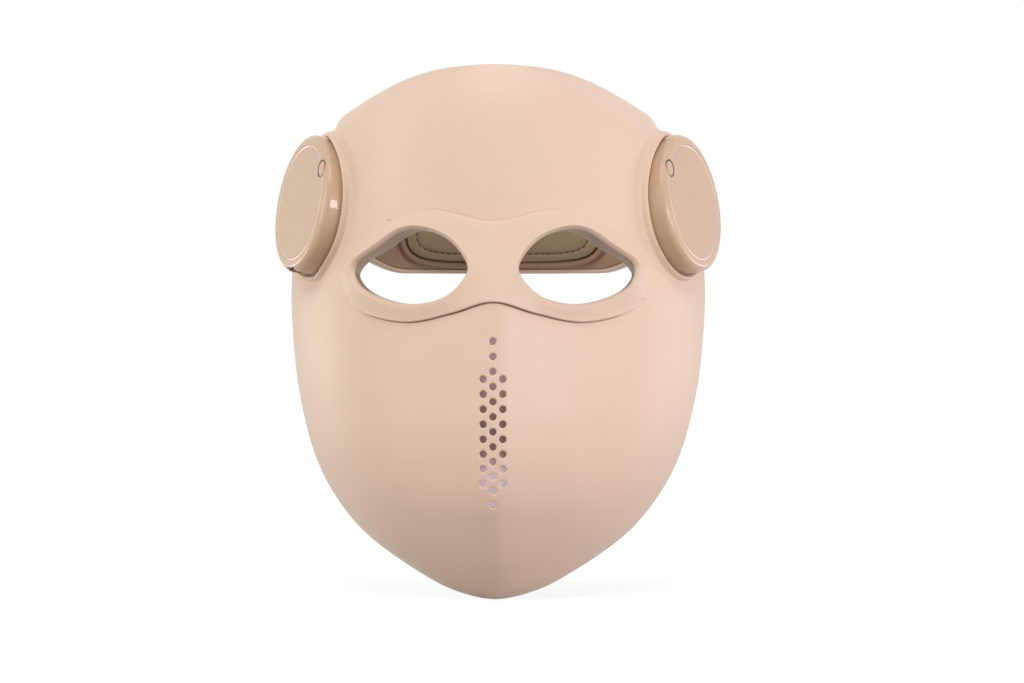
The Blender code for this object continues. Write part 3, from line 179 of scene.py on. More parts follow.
def runAlong(line):  # the length from the line's start to each of its points
    return np.concatenate([[0.0], np.cumsum(np.linalg.norm(np.diff(line, axis=0), axis=1))])


def spreadEvenly(loop, count):
    closed = np.vstack([loop, loop[:1]])
    run = runAlong(closed)
    at = np.linspace(0.0, run[-1], count, endpoint=False)
    return np.stack([np.interp(at, run, closed[:, k]) for k in range(loop.shape[1])], axis=1)


def softBlock(halfWidth, halfHeight, samples, count):  # a loop round a rectangle with soft corners
    turn = np.linspace(0.0, 2 * math.pi, samples, endpoint=False)
    sizes = ((halfWidth, np.cos(turn)), (halfHeight, np.sin(turn)))
    cornerPower = 0.4
    return spreadEvenly(np.stack([half * np.sign(w) * np.abs(w) ** cornerPower for half, w in sizes], axis=1), count)


def quarterRound(size, steps):  # (outwards, inwards) along a rounded edge, without its start
    turn = [math.pi / 2 * k / steps for k in range(1, steps + 1)]
    return [(size * math.sin(a), size * (1 - math.cos(a))) for a in turn]


def roundedCorner(x, y, size, steps, left=False):  # from a flat top at y to a side at x, or up a left side
    arc = [(x - size + out, y - down) for out, down in [(0.0, 0.0), *quarterRound(size, steps)]]
    return [(2 * x - out, up) for out, up in arc[::-1]] if left else arc


def grown(loop, by):  # the closed (x, z) loop moved outwards
    ahead = np.roll(loop, -1, axis=0) - np.roll(loop, 1, axis=0)
    normal = unit(np.stack([ahead[:, 1], -ahead[:, 0]], axis=1))
    area = np.sum(loop[:, 0] * np.roll(loop[:, 1], -1) - np.roll(loop[:, 0], -1) * loop[:, 1])
    return loop + normal * np.reshape(by, (-1, 1)) * np.sign(area)


def insideLoop(points, loop):  # whether each (x, z) lies within the closed loop
    x, z = points[:, 0], points[:, 1]
    inside = np.zeros(len(points), bool)
    for (x1, z1), (x2, z2) in zip(loop, np.roll(loop, -1, axis=0)):
        if z1 != z2:
            crosses = (z1 > z) != (z2 > z)
            inside ^= crosses & (x < (x2 - x1) * (z - z1) / (z2 - z1) + x1)
    return inside


def toLoop(points, loop):  # the distance of each (x, z) to the closed loop
    best = np.full(len(points), 1e9)
    for a, b in zip(loop, np.roll(loop, -1, axis=0)):
        line = b - a
        t = np.clip(((points - a) @ line) / max(line @ line, 1e-18), 0.0, 1.0)
        best = np.minimum(best, np.linalg.norm(points - a - t[:, None] * line, axis=1))
    return best


# The face surface: the same curves that the solids were made from

face = {
    "top": float(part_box("front_shell")[1].z),
    "height": float(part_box("front_shell")[1].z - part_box("front_shell")[0].z),
    "halfWidth": 0.0940,
    "frontReach": 0.0839,
    "rimSetBack": 0.0086,
    "keelRise": 0.0060,
    "keelHalfWidth": 0.0150,
    "wall": 0.0022,
    "rimDepth": 0.0125,
    "roundShare": 0.93,
    "outlineShares": (
        (0.0, 0.0), (0.248, 0.0065), (0.428, 0.026), (0.633, 0.066), (0.789, 0.107),
        (0.904, 0.176), (0.968, 0.258), (1.0, 0.396), (0.994, 0.495), (0.959, 0.611),
        (0.882, 0.7265), (0.786, 0.802), (0.629, 0.877), (0.371, 0.949), (0.19, 0.985), (0.0, 1.0),
    ),
    "rimShares": (
        (0.0, 0.80), (0.0065, 0.755), (0.026, 0.665), (0.066, 0.52), (0.107, 0.37), (0.176, 0.19),
        (0.258, 0.095), (0.396, 0.0), (0.495, 0.008), (0.611, 0.06), (0.7265, 0.16), (0.802, 0.26),
        (0.877, 0.385), (0.949, 0.515), (0.985, 0.585), (1.0, 0.61),
    ),
    "centreShares": (
        (0.0, 0.80), (0.066, 0.88), (0.152, 0.93), (0.26, 0.962), (0.39, 0.985), (0.52, 1.0),
        (0.65, 1.0), (0.72, 0.989), (0.768, 0.968), (0.815, 0.932), (0.862, 0.868),
        (0.905, 0.80), (0.948, 0.722), (1.0, 0.61),
    ),
    "keelShares": ((0.0, 0.0), (0.30, 0.0), (0.46, 1.0), (0.74, 1.0), (0.90, 0.75), (1.0, 0.25)),
    "curveSteps": 24,
    "outlinePoints": 420,
    "middleSamples": 500,
    "rowSamples": 300,
    "meshStep": 0.0023,
}

pastRim = 1.05  # how far beyond its outline the face surface is followed, in half widths


def placed(shares):  # shares of half width, and of height from the top, as (x, z)
    return [(face["halfWidth"] * w, face["top"] - face["height"] * d) for w, d in shares]


outlineFine = closedCurve(mirroredLoop(placed(face["outlineShares"])), face["curveSteps"])
rightSide = outlineFine[:face["curveSteps"] * (len(face["outlineShares"]) - 1) + 1]
outline = spreadEvenly(outlineFine, face["outlinePoints"])
rimCurve = smoothCurve(face["rimShares"])
centreCurve = smoothCurve(face["centreShares"])
keelCurve = smoothCurve(face["keelShares"])
sectionEnd = 1 - math.sqrt(1 - face["roundShare"] ** 2)


def acrossShare(x, z):
    half = np.interp(-np.asarray(z), -rightSide[:, 1], rightSide[:, 0])
    return np.abs(x) / np.maximum(half, face["halfWidth"] / 100)


def faceDepth(x, z, furthest=1.0):  # Y of the outer face at (x, z)
    drop = np.clip((face["top"] - z) / face["height"], 0.0, 1.0)
    across = np.clip(acrossShare(x, z), 0.0, furthest)
    bend = (1 - np.sqrt(1 - (face["roundShare"] * across) ** 2)) / sectionEnd
    centre = -face["frontReach"] * centreCurve(drop)
    rim = face["rimSetBack"] * (1 - rimCurve(drop)) - face["frontReach"] * rimCurve(drop)
    keel = face["keelRise"] * keelCurve(drop) * np.exp(-((x / face["keelHalfWidth"]) ** 2))
    return centre + (rim - centre) * bend - keel * np.clip(1 - across**2, 0.0, 1.0)


def facePoints(flat, furthest=1.0):
    return np.stack([flat[:, 0], faceDepth(flat[:, 0], flat[:, 1], furthest), flat[:, 1]], axis=1)


def inwardNormal(flat):  # unit normals that point to the wearer
    probe = 0.0004
    x, z = flat[:, 0], flat[:, 1]
    byX = (faceDepth(x + probe, z, pastRim) - faceDepth(x - probe, z, pastRim)) / (2 * probe)
    byZ = (faceDepth(x, z + probe, pastRim) - faceDepth(x, z - probe, pastRim)) / (2 * probe)
    return unit(np.stack([-byX, np.ones_like(byX), -byZ], axis=1))


def onLayer(loop, inset, back=0.0):  # the (x, z) loop on the layer at this inset, then further back
    at = loop.copy()
    tries = 14
    for _ in range(tries):
        normal = inwardNormal(at)
        at = loop - inset * normal[:, [0, 2]]
    y = faceDepth(at[:, 0], at[:, 1]) + inset * normal[:, 1] + back
    return np.stack([loop[:, 0], y, loop[:, 1]], axis=1)


# The temple pods' own axes

pod = {
    "faceCentre": (0.08785, -0.0204, 0.0018),
    "normal": (0.890, -0.428, 0.157),
    "radius": 0.0309,
    "depth": 0.0150,
    "edge": 0.0030,
    "near": 0.030,
    "touch": 0.0001,
    "bore": 0.0314,
    "collarWidth": 0.0025,
    "collarDrop": 0.0085,
    "inlayRadius": 0.0256,
    "inlayWidth": 0.0007,
    "buttonRadius": 0.0033,
    "buttonGap": 0.0004,
    "buttonAngle": math.radians(34.0),
}


def podAxes(side):  # centre of the face, then the forward, upward and outward directions
    sign = sides[side]
    outward = unit(np.array([sign * pod["normal"][0], *pod["normal"][1:]]))
    up = unit(np.array([0.0, 0.0, 1.0]) - outward[2] * outward)
    forward = np.cross(up, outward) * (1.0 if side == "right" else -1.0)
    centre = np.array([sign * pod["faceCentre"][0], *pod["faceCentre"][1:]])
    return centre, forward, up, outward


def podPlace(points, side):  # (distance from the pod's axis, angle, height above its face)
    centre, forward, up, outward = podAxes(side)
    away = points - centre
    a, b = away @ forward, away @ up
    return np.hypot(a, b), np.arctan2(b, a), away @ outward


def podPoint(side, radius, angle, height):
    centre, forward, up, outward = podAxes(side)
    radius, angle, height = np.broadcast_arrays(radius, angle, height)
    return (centre + (radius * np.cos(angle))[..., None] * forward
            + (radius * np.sin(angle))[..., None] * up + height[..., None] * outward)


def faceRoundPod(side, radius, angles):  # (x, z) where the face surface is this far from the pod's axis
    centre, forward, up, _ = podAxes(side)
    wanted = np.stack([radius * np.cos(angles), radius * np.sin(angles)], axis=1)
    startHeight, probe, furthestMove, tries = -0.008, 0.0001, 0.004, 25
    flat = podPoint(side, radius, angles, startHeight)[:, [0, 2]]
    for _ in range(tries):
        def error(at):
            away = facePoints(at, pastRim) - centre
            return np.stack([away @ forward, away @ up], axis=1) - wanted
        miss = error(flat)
        byX = (error(flat + [probe, 0.0]) - miss) / probe
        byZ = (error(flat + [0.0, probe]) - miss) / probe
        size = byX[:, 0] * byZ[:, 1] - byX[:, 1] * byZ[:, 0]
        moveX = (miss[:, 0] * byZ[:, 1] - miss[:, 1] * byZ[:, 0]) / size
        moveZ = (byX[:, 0] * miss[:, 1] - byX[:, 1] * miss[:, 0]) / size
        flat = flat - np.clip(np.stack([moveX, moveZ], axis=1), -furthestMove, furthestMove)
    return flat


# The openings in the face: eye surround, eyes and vents

surround = {
    "halfWidth": 0.0673,
    "top": -0.0036,
    "height": 0.0483,
    "shares": (
        (0.0, 0.108), (0.419, 0.0), (0.81, 0.193), (0.984, 0.402), (1.0, 0.561), (0.955, 0.795),
        (0.822, 0.923), (0.542, 1.0), (0.254, 0.923), (0.0, 0.83),
    ),
    "points": 230,
    "rise": 0.00157,
    "slopeWidth": 0.0065,
    "gap": 0.0003,
    "edgeRound": 0.0007,
    "roundSteps": 4,
    "creaseSteps": 3,
    "eyeRoll": 0.0012,
    "eyeRollWidth": 0.0052,
    "browCrease": 0.30,
    "lowerStep": (0.009, 0.0145),
    "lowerEnds": (0.050, 0.064),
    "browStep": (0.004, 0.010),
    "browEnds": (0.028, 0.045),
    "softEnds": (0.026, 0.054),
    "softSlope": 1.5,
    "rollRoom": 0.004,
    "meshStep": 0.0019,
    "meshInset": 0.0042,
    "creases": (0.0017, 0.0026, 0.0036),
    "lip": ((0.0, 0.0012), (0.0, 0.0026), (0.0020, 0.0028), (0.0022, 0.0031), (0.0020, 0.0034), (0.0, 0.0036)),
}
eyes = {
    "offset": 0.0351,
    "z": -0.0281,
    "halfWidth": 0.0246,
    "halfHeight": 0.0159,
    "front": (
        (-0.99, -0.09), (-0.83, -0.52), (-0.55, -0.84), (0.0, -1.0), (0.63, -0.76), (0.93, -0.47),
        (1.03, -0.14), (0.98, 0.13), (0.595, 0.53), (0.17, 0.955), (-0.19, 0.995), (-0.60, 0.755),
        (-0.87, 0.34),
    ),
    "rear": (
        (-0.99, -0.09), (-0.84, -0.50), (-0.56, -0.82), (0.0, -0.99), (0.60, -0.77), (0.89, -0.48),
        (1.0, -0.16), (0.818, 0.189), (0.415, 0.53), (0.122, 0.822), (-0.17, 0.985), (-0.63, 0.785),
        (-0.90, 0.35),
    ),
    "rearFrame": (
        (-0.97, -0.09), (-0.83, -0.50), (-0.55, -0.82), (0.0, -0.98), (0.60, -0.76), (0.88, -0.47),
        (0.95, -0.20), (0.773, 0.094), (0.376, 0.43), (0.087, 0.717), (-0.17, 0.94), (-0.58, 0.74),
        (-0.85, 0.33),
    ),
    "steps": 8,
    "edgeRound": 0.0014,
    "skirts": (0.0012, 0.0026),
    "skirtRoom": 0.0034,
    "mouthShare": 1.1,
    "rootRoom": 0.001,
    "tunnelDepth": 0.0128,
    "tunnelWall": 0.0008,
    "tunnelSteps": {"mouth": 6, "wall": 5, "end": 6, "back": 4},
    "paintedShadeFrom": 0.0006,
}
vents = {
    "topShare": 0.5153,
    "middleSamples": 400,
    "pitch": 0.00636,
    "radius": 0.00155,
    "edgeRound": 0.0005,
    "roundSteps": 4,
    "sideOffset": 0.0042,
    "centreCount": 12,
    "sideCount": 8,
    "sideStart": 2.5,
    "segments": 24,
    "skirt": 0.0007,
}

surroundLoop = spreadEvenly(closedCurve(mirroredLoop([
    (surround["halfWidth"] * w, surround["top"] - surround["height"] * d) for w, d in surround["shares"]
]), face["curveSteps"]), surround["points"])


def stepShare(flat):  # 1 along its crisp lower edge, a little at the brow, 0 where it melts into the face
    aside = np.abs(flat[:, 0])
    above = flat[:, 1] - eyes["z"]
    lower = smoothStep(-above, *surround["lowerStep"]) * (1 - smoothStep(aside, *surround["lowerEnds"]))
    brow = smoothStep(above, *surround["browStep"]) * (1 - smoothStep(aside, *surround["browEnds"]))
    return lower + surround["browCrease"] * brow


def eyeLoop(sign, shares, grow):
    points = [(sign * (eyes["offset"] + eyes["halfWidth"] * e), eyes["z"] + eyes["halfHeight"] * v)
              for e, v in shares]
    return grown(closedCurve(points, eyes["steps"]), grow)


def middleLine(start, samples):  # heights down the middle of the face, and the run along it to each
    z = np.linspace(face["top"] - face["height"] * start, face["top"] - face["height"], samples)
    return z, runAlong(np.stack([z, faceDepth(np.zeros_like(z), z)], axis=1))


def ventPlaces():
    z, run = middleLine(vents["topShare"], vents["middleSamples"])
    columns = [(0.0, 0.0, vents["centreCount"])]
    columns += [(sign * vents["sideOffset"], vents["sideStart"], vents["sideCount"]) for sign in sides.values()]
    return [np.array([x, np.interp(vents["pitch"] * (i + first), run, z)])
            for x, first, count in columns for i in range(count)]


def facePattern(step):  # (x, z) in level rows, about one step apart along the curved face
    z, run = middleLine(0.0, face["middleSamples"])
    found = []
    for i in range(1, int(run[-1] / step)):
        row = np.interp(i * step, run, z)
        x = np.linspace(0.0, np.interp(-row, -rightSide[:, 1], rightSide[:, 0]), face["rowSamples"])
        across = runAlong(np.stack([x, faceDepth(x, np.full_like(x, row))], axis=1))
        places = np.interp(np.arange(0.5 if i % 2 else 0.0, across[-1] / step, 1.0) * step, across, x)
        found += [(s, row) for s in places] + [(-s, row) for s in places if s > 0]
    return np.array(found)


def triangulated(freePoints, loops):  # flat triangles through the points, and where each loop's points went
    everyPoint = [np.asarray(freePoints)] + [np.asarray(loop) for loop, _ in loops]
    starts = np.cumsum([0] + [len(p) for p in everyPoint])
    edges = []
    for (loop, closed), start in zip(loops, starts[1:]):
        count = len(loop)
        edges += [(int(start + i), int(start + (i + 1) % count)) for i in range(count if closed else count - 1)]
    flat = np.vstack(everyPoint) * 1000.0  # in millimetres, for the tolerance
    found, _, faces, origin, _, _ = delaunay_2d_cdt([Vector(p) for p in flat], edges, [], 0, 1e-4, True)
    went = {}
    for number, sources in enumerate(origin):
        for source in sources:
            went[source] = number
    numbers = [[went[int(start + i)] for i in range(len(loop))] for (loop, _), start in zip(loops, starts[1:])]
    return np.array([tuple(p) for p in found]) / 1000.0, [tuple(f) for f in faces], numbers


def boundaryLoops(faces):  # rows of point numbers round every open edge, in the faces' own turning sense
    ahead = {}
    used = set((f[k], f[(k + 1) % len(f)]) for f in faces for k in range(len(f)))
    for a, b in used:
        if (b, a) not in used:
            ahead.setdefault(a, []).append(b)
    loops = []
    while ahead:
        start = next(iter(ahead))
        loop = [start]
        while True:
            after = ahead[loop[-1]].pop()
            if not ahead[loop[-1]]:
                del ahead[loop[-1]]
            if after == start:
                break
            loop.append(after)
        loops.append(loop)
    return loops


def flatSheet(free, edge, holes, arcs=(), wanted=None):  # triangles within the edge and clear of the holes
    loops = [(edge, True), *[(hole, True) for hole in holes], *[(arc, False) for arc in arcs]]
    flat, faces, numbers = triangulated(free, loops)
    middles = np.array([flat[list(f)].mean(axis=0) for f in faces])
    keep = insideLoop(middles, edge)
    for hole in holes:
        keep &= ~insideLoop(middles, hole)
    if wanted:
        keep &= wanted(middles)
    faces = [f for f, k in zip(faces, keep) if k]
    used = sorted(set(i for f in faces for i in f))
    number = {old: new for new, old in enumerate(used)}
    return flat[used], [tuple(number[i] for i in f) for f in faces], [[number.get(i) for i in n] for n in numbers]


def openEdges(outer, inward, faces, numbers):  # each open edge's points, ways out and in, and the loop it follows
    for loop in boundaryLoops(faces):
        along = np.roll(outer[loop], -1, axis=0) - np.roll(outer[loop], 1, axis=0)
        away = unit(np.cross(along, inward[loop])) * -1.0
        follows = next((k for k, row in enumerate(numbers) if loop[0] in row), None)
        yield loop, outer[loop], away, inward[loop], follows


def twoSkins(outer, inner, faces):  # points and faces of a sheet with thickness, open at its edges
    count = len(outer)
    return [*outer, *inner], [*faces, *[tuple(count + i for i in f[::-1]) for f in faces]]


def closeEdge(points, faces, count, loop, rows):  # rows of points from the outer edge to the inner one
    numbers = [list(loop)]
    for row in rows:
        numbers.append(list(range(len(points), len(points) + len(row))))
        points.extend(row)
    numbers.append([count + i for i in loop])
    for first, second in zip(numbers, numbers[1:]):
        faces += [f[::-1] for f in ringFaces(first, second)]


# The moulded shell, with a soft raised bead where it meets each pod

bead = {
    "middle": 0.0326,
    "half": 0.00130,
    "height": 0.0014,
    "valley": (0.0009, 0.0026),
    "valleyAt": 0.0338,
    "valleyWidth": (0.0034, 0.0068),
    "deepFrom": (math.radians(-62.0), math.radians(18.0)),
    "reach": 0.0520,
    "rings": (0.0314, 0.03155, 0.0318, 0.0321, 0.0324, 0.0327, 0.0330, 0.0333, 0.0336, 0.0339, 0.0342, 0.0346,
              0.0351, 0.0357, 0.0365, 0.0375, 0.0387, 0.0402),
    "step": 0.0009,
    "portDip": (math.radians(-84.0), math.radians(17.0), 0.0019),
    "wallDown": 0.0050,
    "clear": 0.03265,
    "clearDepth": 0.001,
    "overrun": 0.15,
    "searched": (-160.0, 100.0, 521),
}


def valleyRoundPod(side, radius, angle):  # how far the face dips beside a pod, most in front of and above it
    deep = smoothStep(angle, *bead["deepFrom"])
    depth = bead["valley"][0] + (bead["valley"][1] - bead["valley"][0]) * deep
    if side == "right":
        middle, spread, dip = bead["portDip"]
        depth = depth + dip * np.exp(-(((angle - middle) / spread) ** 2))
    width = bead["valleyWidth"][0] + (bead["valleyWidth"][1] - bead["valleyWidth"][0]) * deep
    away = np.clip((radius - bead["valleyAt"]) / width, 0.0, 6.0)
    return depth * np.exp(-away**2) * (radius < bead["reach"])


def beadRidge(radius):
    across = np.clip(np.abs(radius - bead["middle"]) / bead["half"], 0.0, 1.0)
    return (bead["height"] + bead["valley"][0]) * (1 - across**2)


def dippedRoundPods(points, ridge):  # the face's valley beside each pod, with or without the bead
    for side in sides:
        radius, angle, height = podPlace(points, side)
        near = np.abs(height) < pod["near"]
        rise = ridge * beadRidge(radius[near]) - valleyRoundPod(side, radius[near], angle[near])
        points[near] += rise[:, None] * podAxes(side)[3]
    return points


def keptOffPods(points):  # points that would stand in a pod's bore, moved out to its wall
    points = points.copy()
    for side in sides:
        radius, angle, height = podPlace(points, side)
        inBore = (radius < bead["clear"]) & (height > -pod["depth"] - bead["clearDepth"])
        points[inBore] = podPoint(side, bead["clear"], angle[inBore], height[inBore])
    return points


def podRange(side):  # the angles between which the face passes the pod's bore, rim to rim
    angles = np.radians(np.linspace(*bead["searched"]))
    flat = faceRoundPod(side, pod["bore"], angles)
    on = acrossShare(flat[:, 0], flat[:, 1]) < 1.0
    front = np.argmin(np.abs(angles))
    low = high = front
    while on[low - 1] and low > 1:
        low -= 1
    while on[high + 1] and high < len(on) - 2:
        high += 1
    return angles[low], angles[high]


shell = {
    "rimRound": 0.0008,
    "roundSteps": 4,
    "leastLean": 0.3,
    "rimLip": 0.0006,
    "drawnIn": 0.010,
    "creaseShare": 0.4,
    "crispRings": (0.0010, 0.0020),
    "room": {"rim": 0.0009, "surround": 0.0028, "vent": 0.0005, "pod": 0.001, "ring": 0.0005, "bore": 0.00002},
}


def offPods(flat):  # whether the face's point at each (x, z) is outside both bores
    off = np.ones(len(flat), bool)
    for side in sides:
        radius, _, height = podPlace(facePoints(flat, pastRim), side)
        off &= (radius > pod["bore"] - shell["room"]["bore"]) | (np.abs(height) > pod["near"])
    return off


def rimRows(flat, start, away, normal):  # round the shell's rim and a little way up inside, down the wall at a pod
    small, wall, depth, lip = shell["rimRound"], face["wall"], face["rimDepth"], shell["rimLip"]
    turned = [(lip * (1 - math.cos(a)), depth - lip * (1 - math.sin(a))) for a in (math.pi / 4, math.pi / 2)]
    profile = [*quarterRound(small, shell["roundSteps"]), (small, depth / 3), (small, depth * 2 / 3),
               (small, depth - lip), *[(small - a, b) for a, b in turned],
               *[(small - wall + a, b) for a, b in turned[::-1]], (small - wall, depth - lip),
               (small - wall, depth / 2)]
    rows = [keptOffPods(start + away * a + normal * b) for a, b in profile]
    for side in sides:
        radius, _, height = podPlace(facePoints(flat, pastRim), side)
        atPod = (radius < pod["bore"] + pod["touch"]) & (np.abs(height) < pod["near"])
        for k, row in enumerate(rows):
            row[atPod] = start[atPod] - podAxes(side)[3] * bead["wallDown"] * (k + 1) / len(rows)
    return rows


def makeMaskShell(finish):
    rimRound, room = shell["rimRound"], shell["room"]
    lean = np.abs(inwardNormal(grown(outline, -rimRound))[:, 1])
    innerEdge = grown(outline, -rimRound * np.clip(lean, shell["leastLean"], 1.0))
    crease = surround["edgeRound"] * shell["creaseShare"]
    split = grown(surroundLoop, (surround["gap"] / 2 + crease) * stepShare(surroundLoop))
    turn = 2 * math.pi * np.arange(vents["segments"]) / vents["segments"]
    circle = np.stack([np.cos(turn), np.sin(turn)], axis=1)
    places = ventPlaces()
    mouth = vents["radius"] + vents["edgeRound"]
    podArcs = []
    podRings = []
    for side in sides:
        low, high = podRange(side)
        low, high = low - bead["overrun"], high + bead["overrun"]
        arcs = [faceRoundPod(side, radius, np.linspace(low, high, int((high - low) * radius / bead["step"])))
                for radius in bead["rings"]]
        podArcs.append(arcs[0])
        podRings += arcs[1:]
    free = facePattern(face["meshStep"])
    for side in sides:
        radius, _, height = podPlace(facePoints(free), side)
        free = free[(radius > bead["rings"][-1] + room["pod"]) | (np.abs(height) > pod["near"])]
    free = np.vstack([free, *[place + circle[::2] * (mouth + vents["skirt"]) for place in places]])
    for loop, away in ((innerEdge, room["rim"]), (surroundLoop, room["surround"])):
        free = free[toLoop(free, loop) > away]
    for place in places:
        free = free[np.linalg.norm(free - place, axis=1) > mouth + room["vent"]]
    rings = np.vstack(podRings)
    rings = rings[insideLoop(rings, grown(innerEdge, -room["ring"]))]
    crisp = [grown(surroundLoop, by) for by in shell["crispRings"]]
    free = np.vstack([free[insideLoop(free, innerEdge)], rings, *crisp])
    holes = [split, *[place + circle * mouth for place in places]]
    flat, faces, numbers = flatSheet(free, innerEdge, holes, podArcs, offPods)
    inward = inwardNormal(flat)
    outer = dippedRoundPods(facePoints(flat), 1.0)
    nearRim = np.clip(1 - toLoop(flat, outline) / shell["drawnIn"], 0, 1)
    middle = np.array([0.0, face["top"] - face["height"] / 2])
    drawnIn = flat - unit(flat - middle) * ((face["wall"] - rimRound) * nearRim)[:, None]
    inner = dippedRoundPods(facePoints(drawnIn), 0.0)
    inner = keptOffPods(inner + inwardNormal(drawnIn) * face["wall"])
    points, skins = twoSkins(outer, inner, faces)
    for loop, start, away, normal, follows in openEdges(outer, inward, faces, numbers):
        if follows == 1:  # the crease round the eye surround
            share = stepShare(flat[loop])[:, None]
            turned = quarterRound(crease, surround["creaseSteps"])
            rows = [start + (away * a + normal * b) * share for a, b in turned]
            corner = start + away * crease * share
            rows += [corner + away * a + normal * b for a, b in surround["lip"]]
        elif follows is not None and 2 <= follows <= len(holes):
            rows = [start + away * a + normal * b for a, b in quarterRound(vents["edgeRound"], vents["roundSteps"])]
        else:
            rows = rimRows(flat[loop], start, away, normal)
        closeEdge(points, skins, len(outer), loop, rows)
    addPiece("maskShell", points, skins, finish, "mask", ("front_shell",))


# The eye surround: a rounded figure of eight that carries the two eye tunnels

def surroundRise(flat):  # how far the surround stands out from the face
    toEdge = toLoop(flat, surroundLoop)
    fade = smoothStep(np.abs(flat[:, 0]), *surround["softEnds"])
    crisp = (1 - np.clip(toEdge / surround["slopeWidth"], 0, 1)) ** 2
    soft = 1 - smoothStep(toEdge, 0.0, surround["slopeWidth"] * surround["softSlope"])
    rise = surround["rise"] * (1 - (1 - stepShare(flat)) * (crisp * (1 - fade) + soft * fade))
    toEye = np.min([toLoop(flat, eyeLoop(sign, eyes["front"], 0.0)) for sign in sides.values()], axis=0)
    roll = surround["eyeRoll"] * np.exp(-((toEye / surround["eyeRollWidth"]) ** 2))
    return rise + roll * smoothStep(toEdge, 0.0, surround["rollRoom"])


def tunnelRows(sign, order, start, normal):  # round an eye's rim, through its tunnel and back along the outside
    wall, deep = eyes["tunnelWall"], eyes["tunnelDepth"]
    mouth, end, far, near = (onLayer(eyeLoop(sign, eyes[shape], grow)[order], inset) for shape, grow, inset in (
        ("front", 0.0, eyes["edgeRound"] * eyes["mouthShare"] - surround["rise"]), ("rear", 0.0, deep),
        ("rear", wall, deep), ("front", wall, face["wall"] + eyes["rootRoom"])))
    corner = start + normal * eyes["edgeRound"]
    middle = (end + far) / 2
    steps = eyes["tunnelSteps"]
    rows = [corner + (mouth - corner) * math.sin(a) + (start - corner) * math.cos(a)
            for a in (math.pi / 2 * k / steps["mouth"] for k in range(1, steps["mouth"] + 1))]
    rows += [mouth + (end - mouth) * (k / steps["wall"]) for k in range(1, steps["wall"])]
    rows += [middle + (end - middle) * math.cos(a) + np.array([0.0, wall / 2 * math.sin(a), 0.0])
             for a in (math.pi * k / steps["end"] for k in range(steps["end"] + 1))]
    return rows + [far + (near - far) * k / steps["back"] for k in range(1, steps["back"])]


def makeEyeSurround(finish, paintedShadeFinish):
    edge = grown(surroundLoop, -(surround["gap"] / 2 + surround["edgeRound"]) * stepShare(surroundLoop))
    rims = [eyeLoop(sign, eyes["front"], eyes["edgeRound"]) for sign in sides.values()]
    free = facePattern(surround["meshStep"])
    for rim in rims:
        free = free[~insideLoop(free, grown(rim, eyes["skirtRoom"]))]
    free = np.vstack([free, *[grown(rim, by) for by in eyes["skirts"] for rim in rims]])
    free = free[insideLoop(free, grown(surroundLoop, -surround["meshInset"]))]
    free = np.vstack([free, *[grown(surroundLoop, -by) for by in surround["creases"]]])
    flat, faces, numbers = flatSheet(free, edge, rims)
    inward = inwardNormal(flat)
    base = facePoints(flat)
    outer = base - inward * surroundRise(flat)[:, None]
    points, skins = twoSkins(outer, base + inward * face["wall"], faces)
    for loop, start, away, normal, follows in openEdges(outer, inward, faces, numbers):
        if follows:  # an eye's rim
            order = [numbers[follows].index(i) for i in loop]
            rows = tunnelRows(list(sides.values())[follows - 1], order, start, normal)
        else:
            share = stepShare(flat[loop])[:, None]
            turned = quarterRound(surround["edgeRound"], surround["roundSteps"])
            rows = [start + (away * a + normal * b) * share for a, b in turned]
        closeEdge(points, skins, len(outer), loop, rows)
    piece = addPiece("eyeSurround", points, skins, finish, "mask", ("eye_frame",))
    piece.data.materials.append(paintedShadeFinish)
    centres = np.array([polygon.center for polygon in piece.data.polygons])
    across = centres[:, [0, 2]]
    inEye = np.any([insideLoop(across, rim) for rim in rims], axis=0)
    # Tunnel faces lying behind the face take the second finish: painted shade inside the eye openings
    paintedShadeFaces = inEye & (centres[:, 1] > facePoints(across, pastRim)[:, 1] + eyes["paintedShadeFrom"])
    for polygon, inPaintedShade in zip(piece.data.polygons, paintedShadeFaces):
        polygon.material_index = int(inPaintedShade)


# Turned pieces on the pods' axes

def turnedPoints(side, profile, steps, centre=(0.0, 0.0)):  # rings through a (radius, height) profile
    turn = 2 * math.pi * np.arange(steps) / steps
    middle, forward, up, outward = podAxes(side)
    middle = middle + centre[0] * forward + centre[1] * up
    ring = np.cos(turn)[:, None] * forward + np.sin(turn)[:, None] * up
    return [middle + radius * (ring if radius else ring[:1]) + height * outward for radius, height in profile]


def cutAway(piece, cutters):  # Boolean differences, applied, with the cutters taken away again
    for cutter in cutters:
        step = piece.modifiers.new("cut", "BOOLEAN")
        step.operation = "DIFFERENCE"
        step.solver = "EXACT"
        step.object = cutter
    shown = piece.evaluated_get(bpy.context.evaluated_depsgraph_get())
    cut = bpy.data.meshes.new_from_object(shown)
    piece.modifiers.clear()
    piece.data = cut
    cut.set_sharp_from_angle(angle=cap["cutSharp"])
    for cutter in cutters:
        bpy.data.objects.remove(cutter)


def buttonRings(side, profile, steps=64):  # rings round the button's own axis
    along, across = math.cos(pod["buttonAngle"]), math.sin(pod["buttonAngle"])
    return turnedPoints(side, profile, steps, (along * pod["inlayRadius"], across * pod["inlayRadius"]))


def buttonBore(side):  # what cuts the button's hole
    hole = pod["buttonRadius"] + pod["buttonGap"]
    above, below, steps = 0.003, -0.005, 48
    rows = buttonRings(side, [(0.0, above), (hole, above), (hole, below), (0.0, below)], steps)
    return addMesh("cutter", np.vstack(rows), latheFaces(rows))


cap = {
    "innerRing": 0.012,
    "sideRing": -0.0055,
    "wall": 0.0020,
    "side": 0.0016,
    "skirt": 0.0100,
    "bevel": 0.0002,
    "grooveDepth": 0.0006,
    "grooveRoom": 0.0001,
    "roundSteps": 10,
    "segments": 128,
    "cutSharp": math.radians(35.0),
}
port = {
    "halfWide": 0.0046,
    "base": -0.0072,
    "tall": 0.0067,
    "narrow": 0.8,
    "outside": -0.045,
    "inner": -0.0272,
    "mouth": -0.0296,
    "sleeve": 0.0002,
    "sleeveEnd": 0.0005,
}


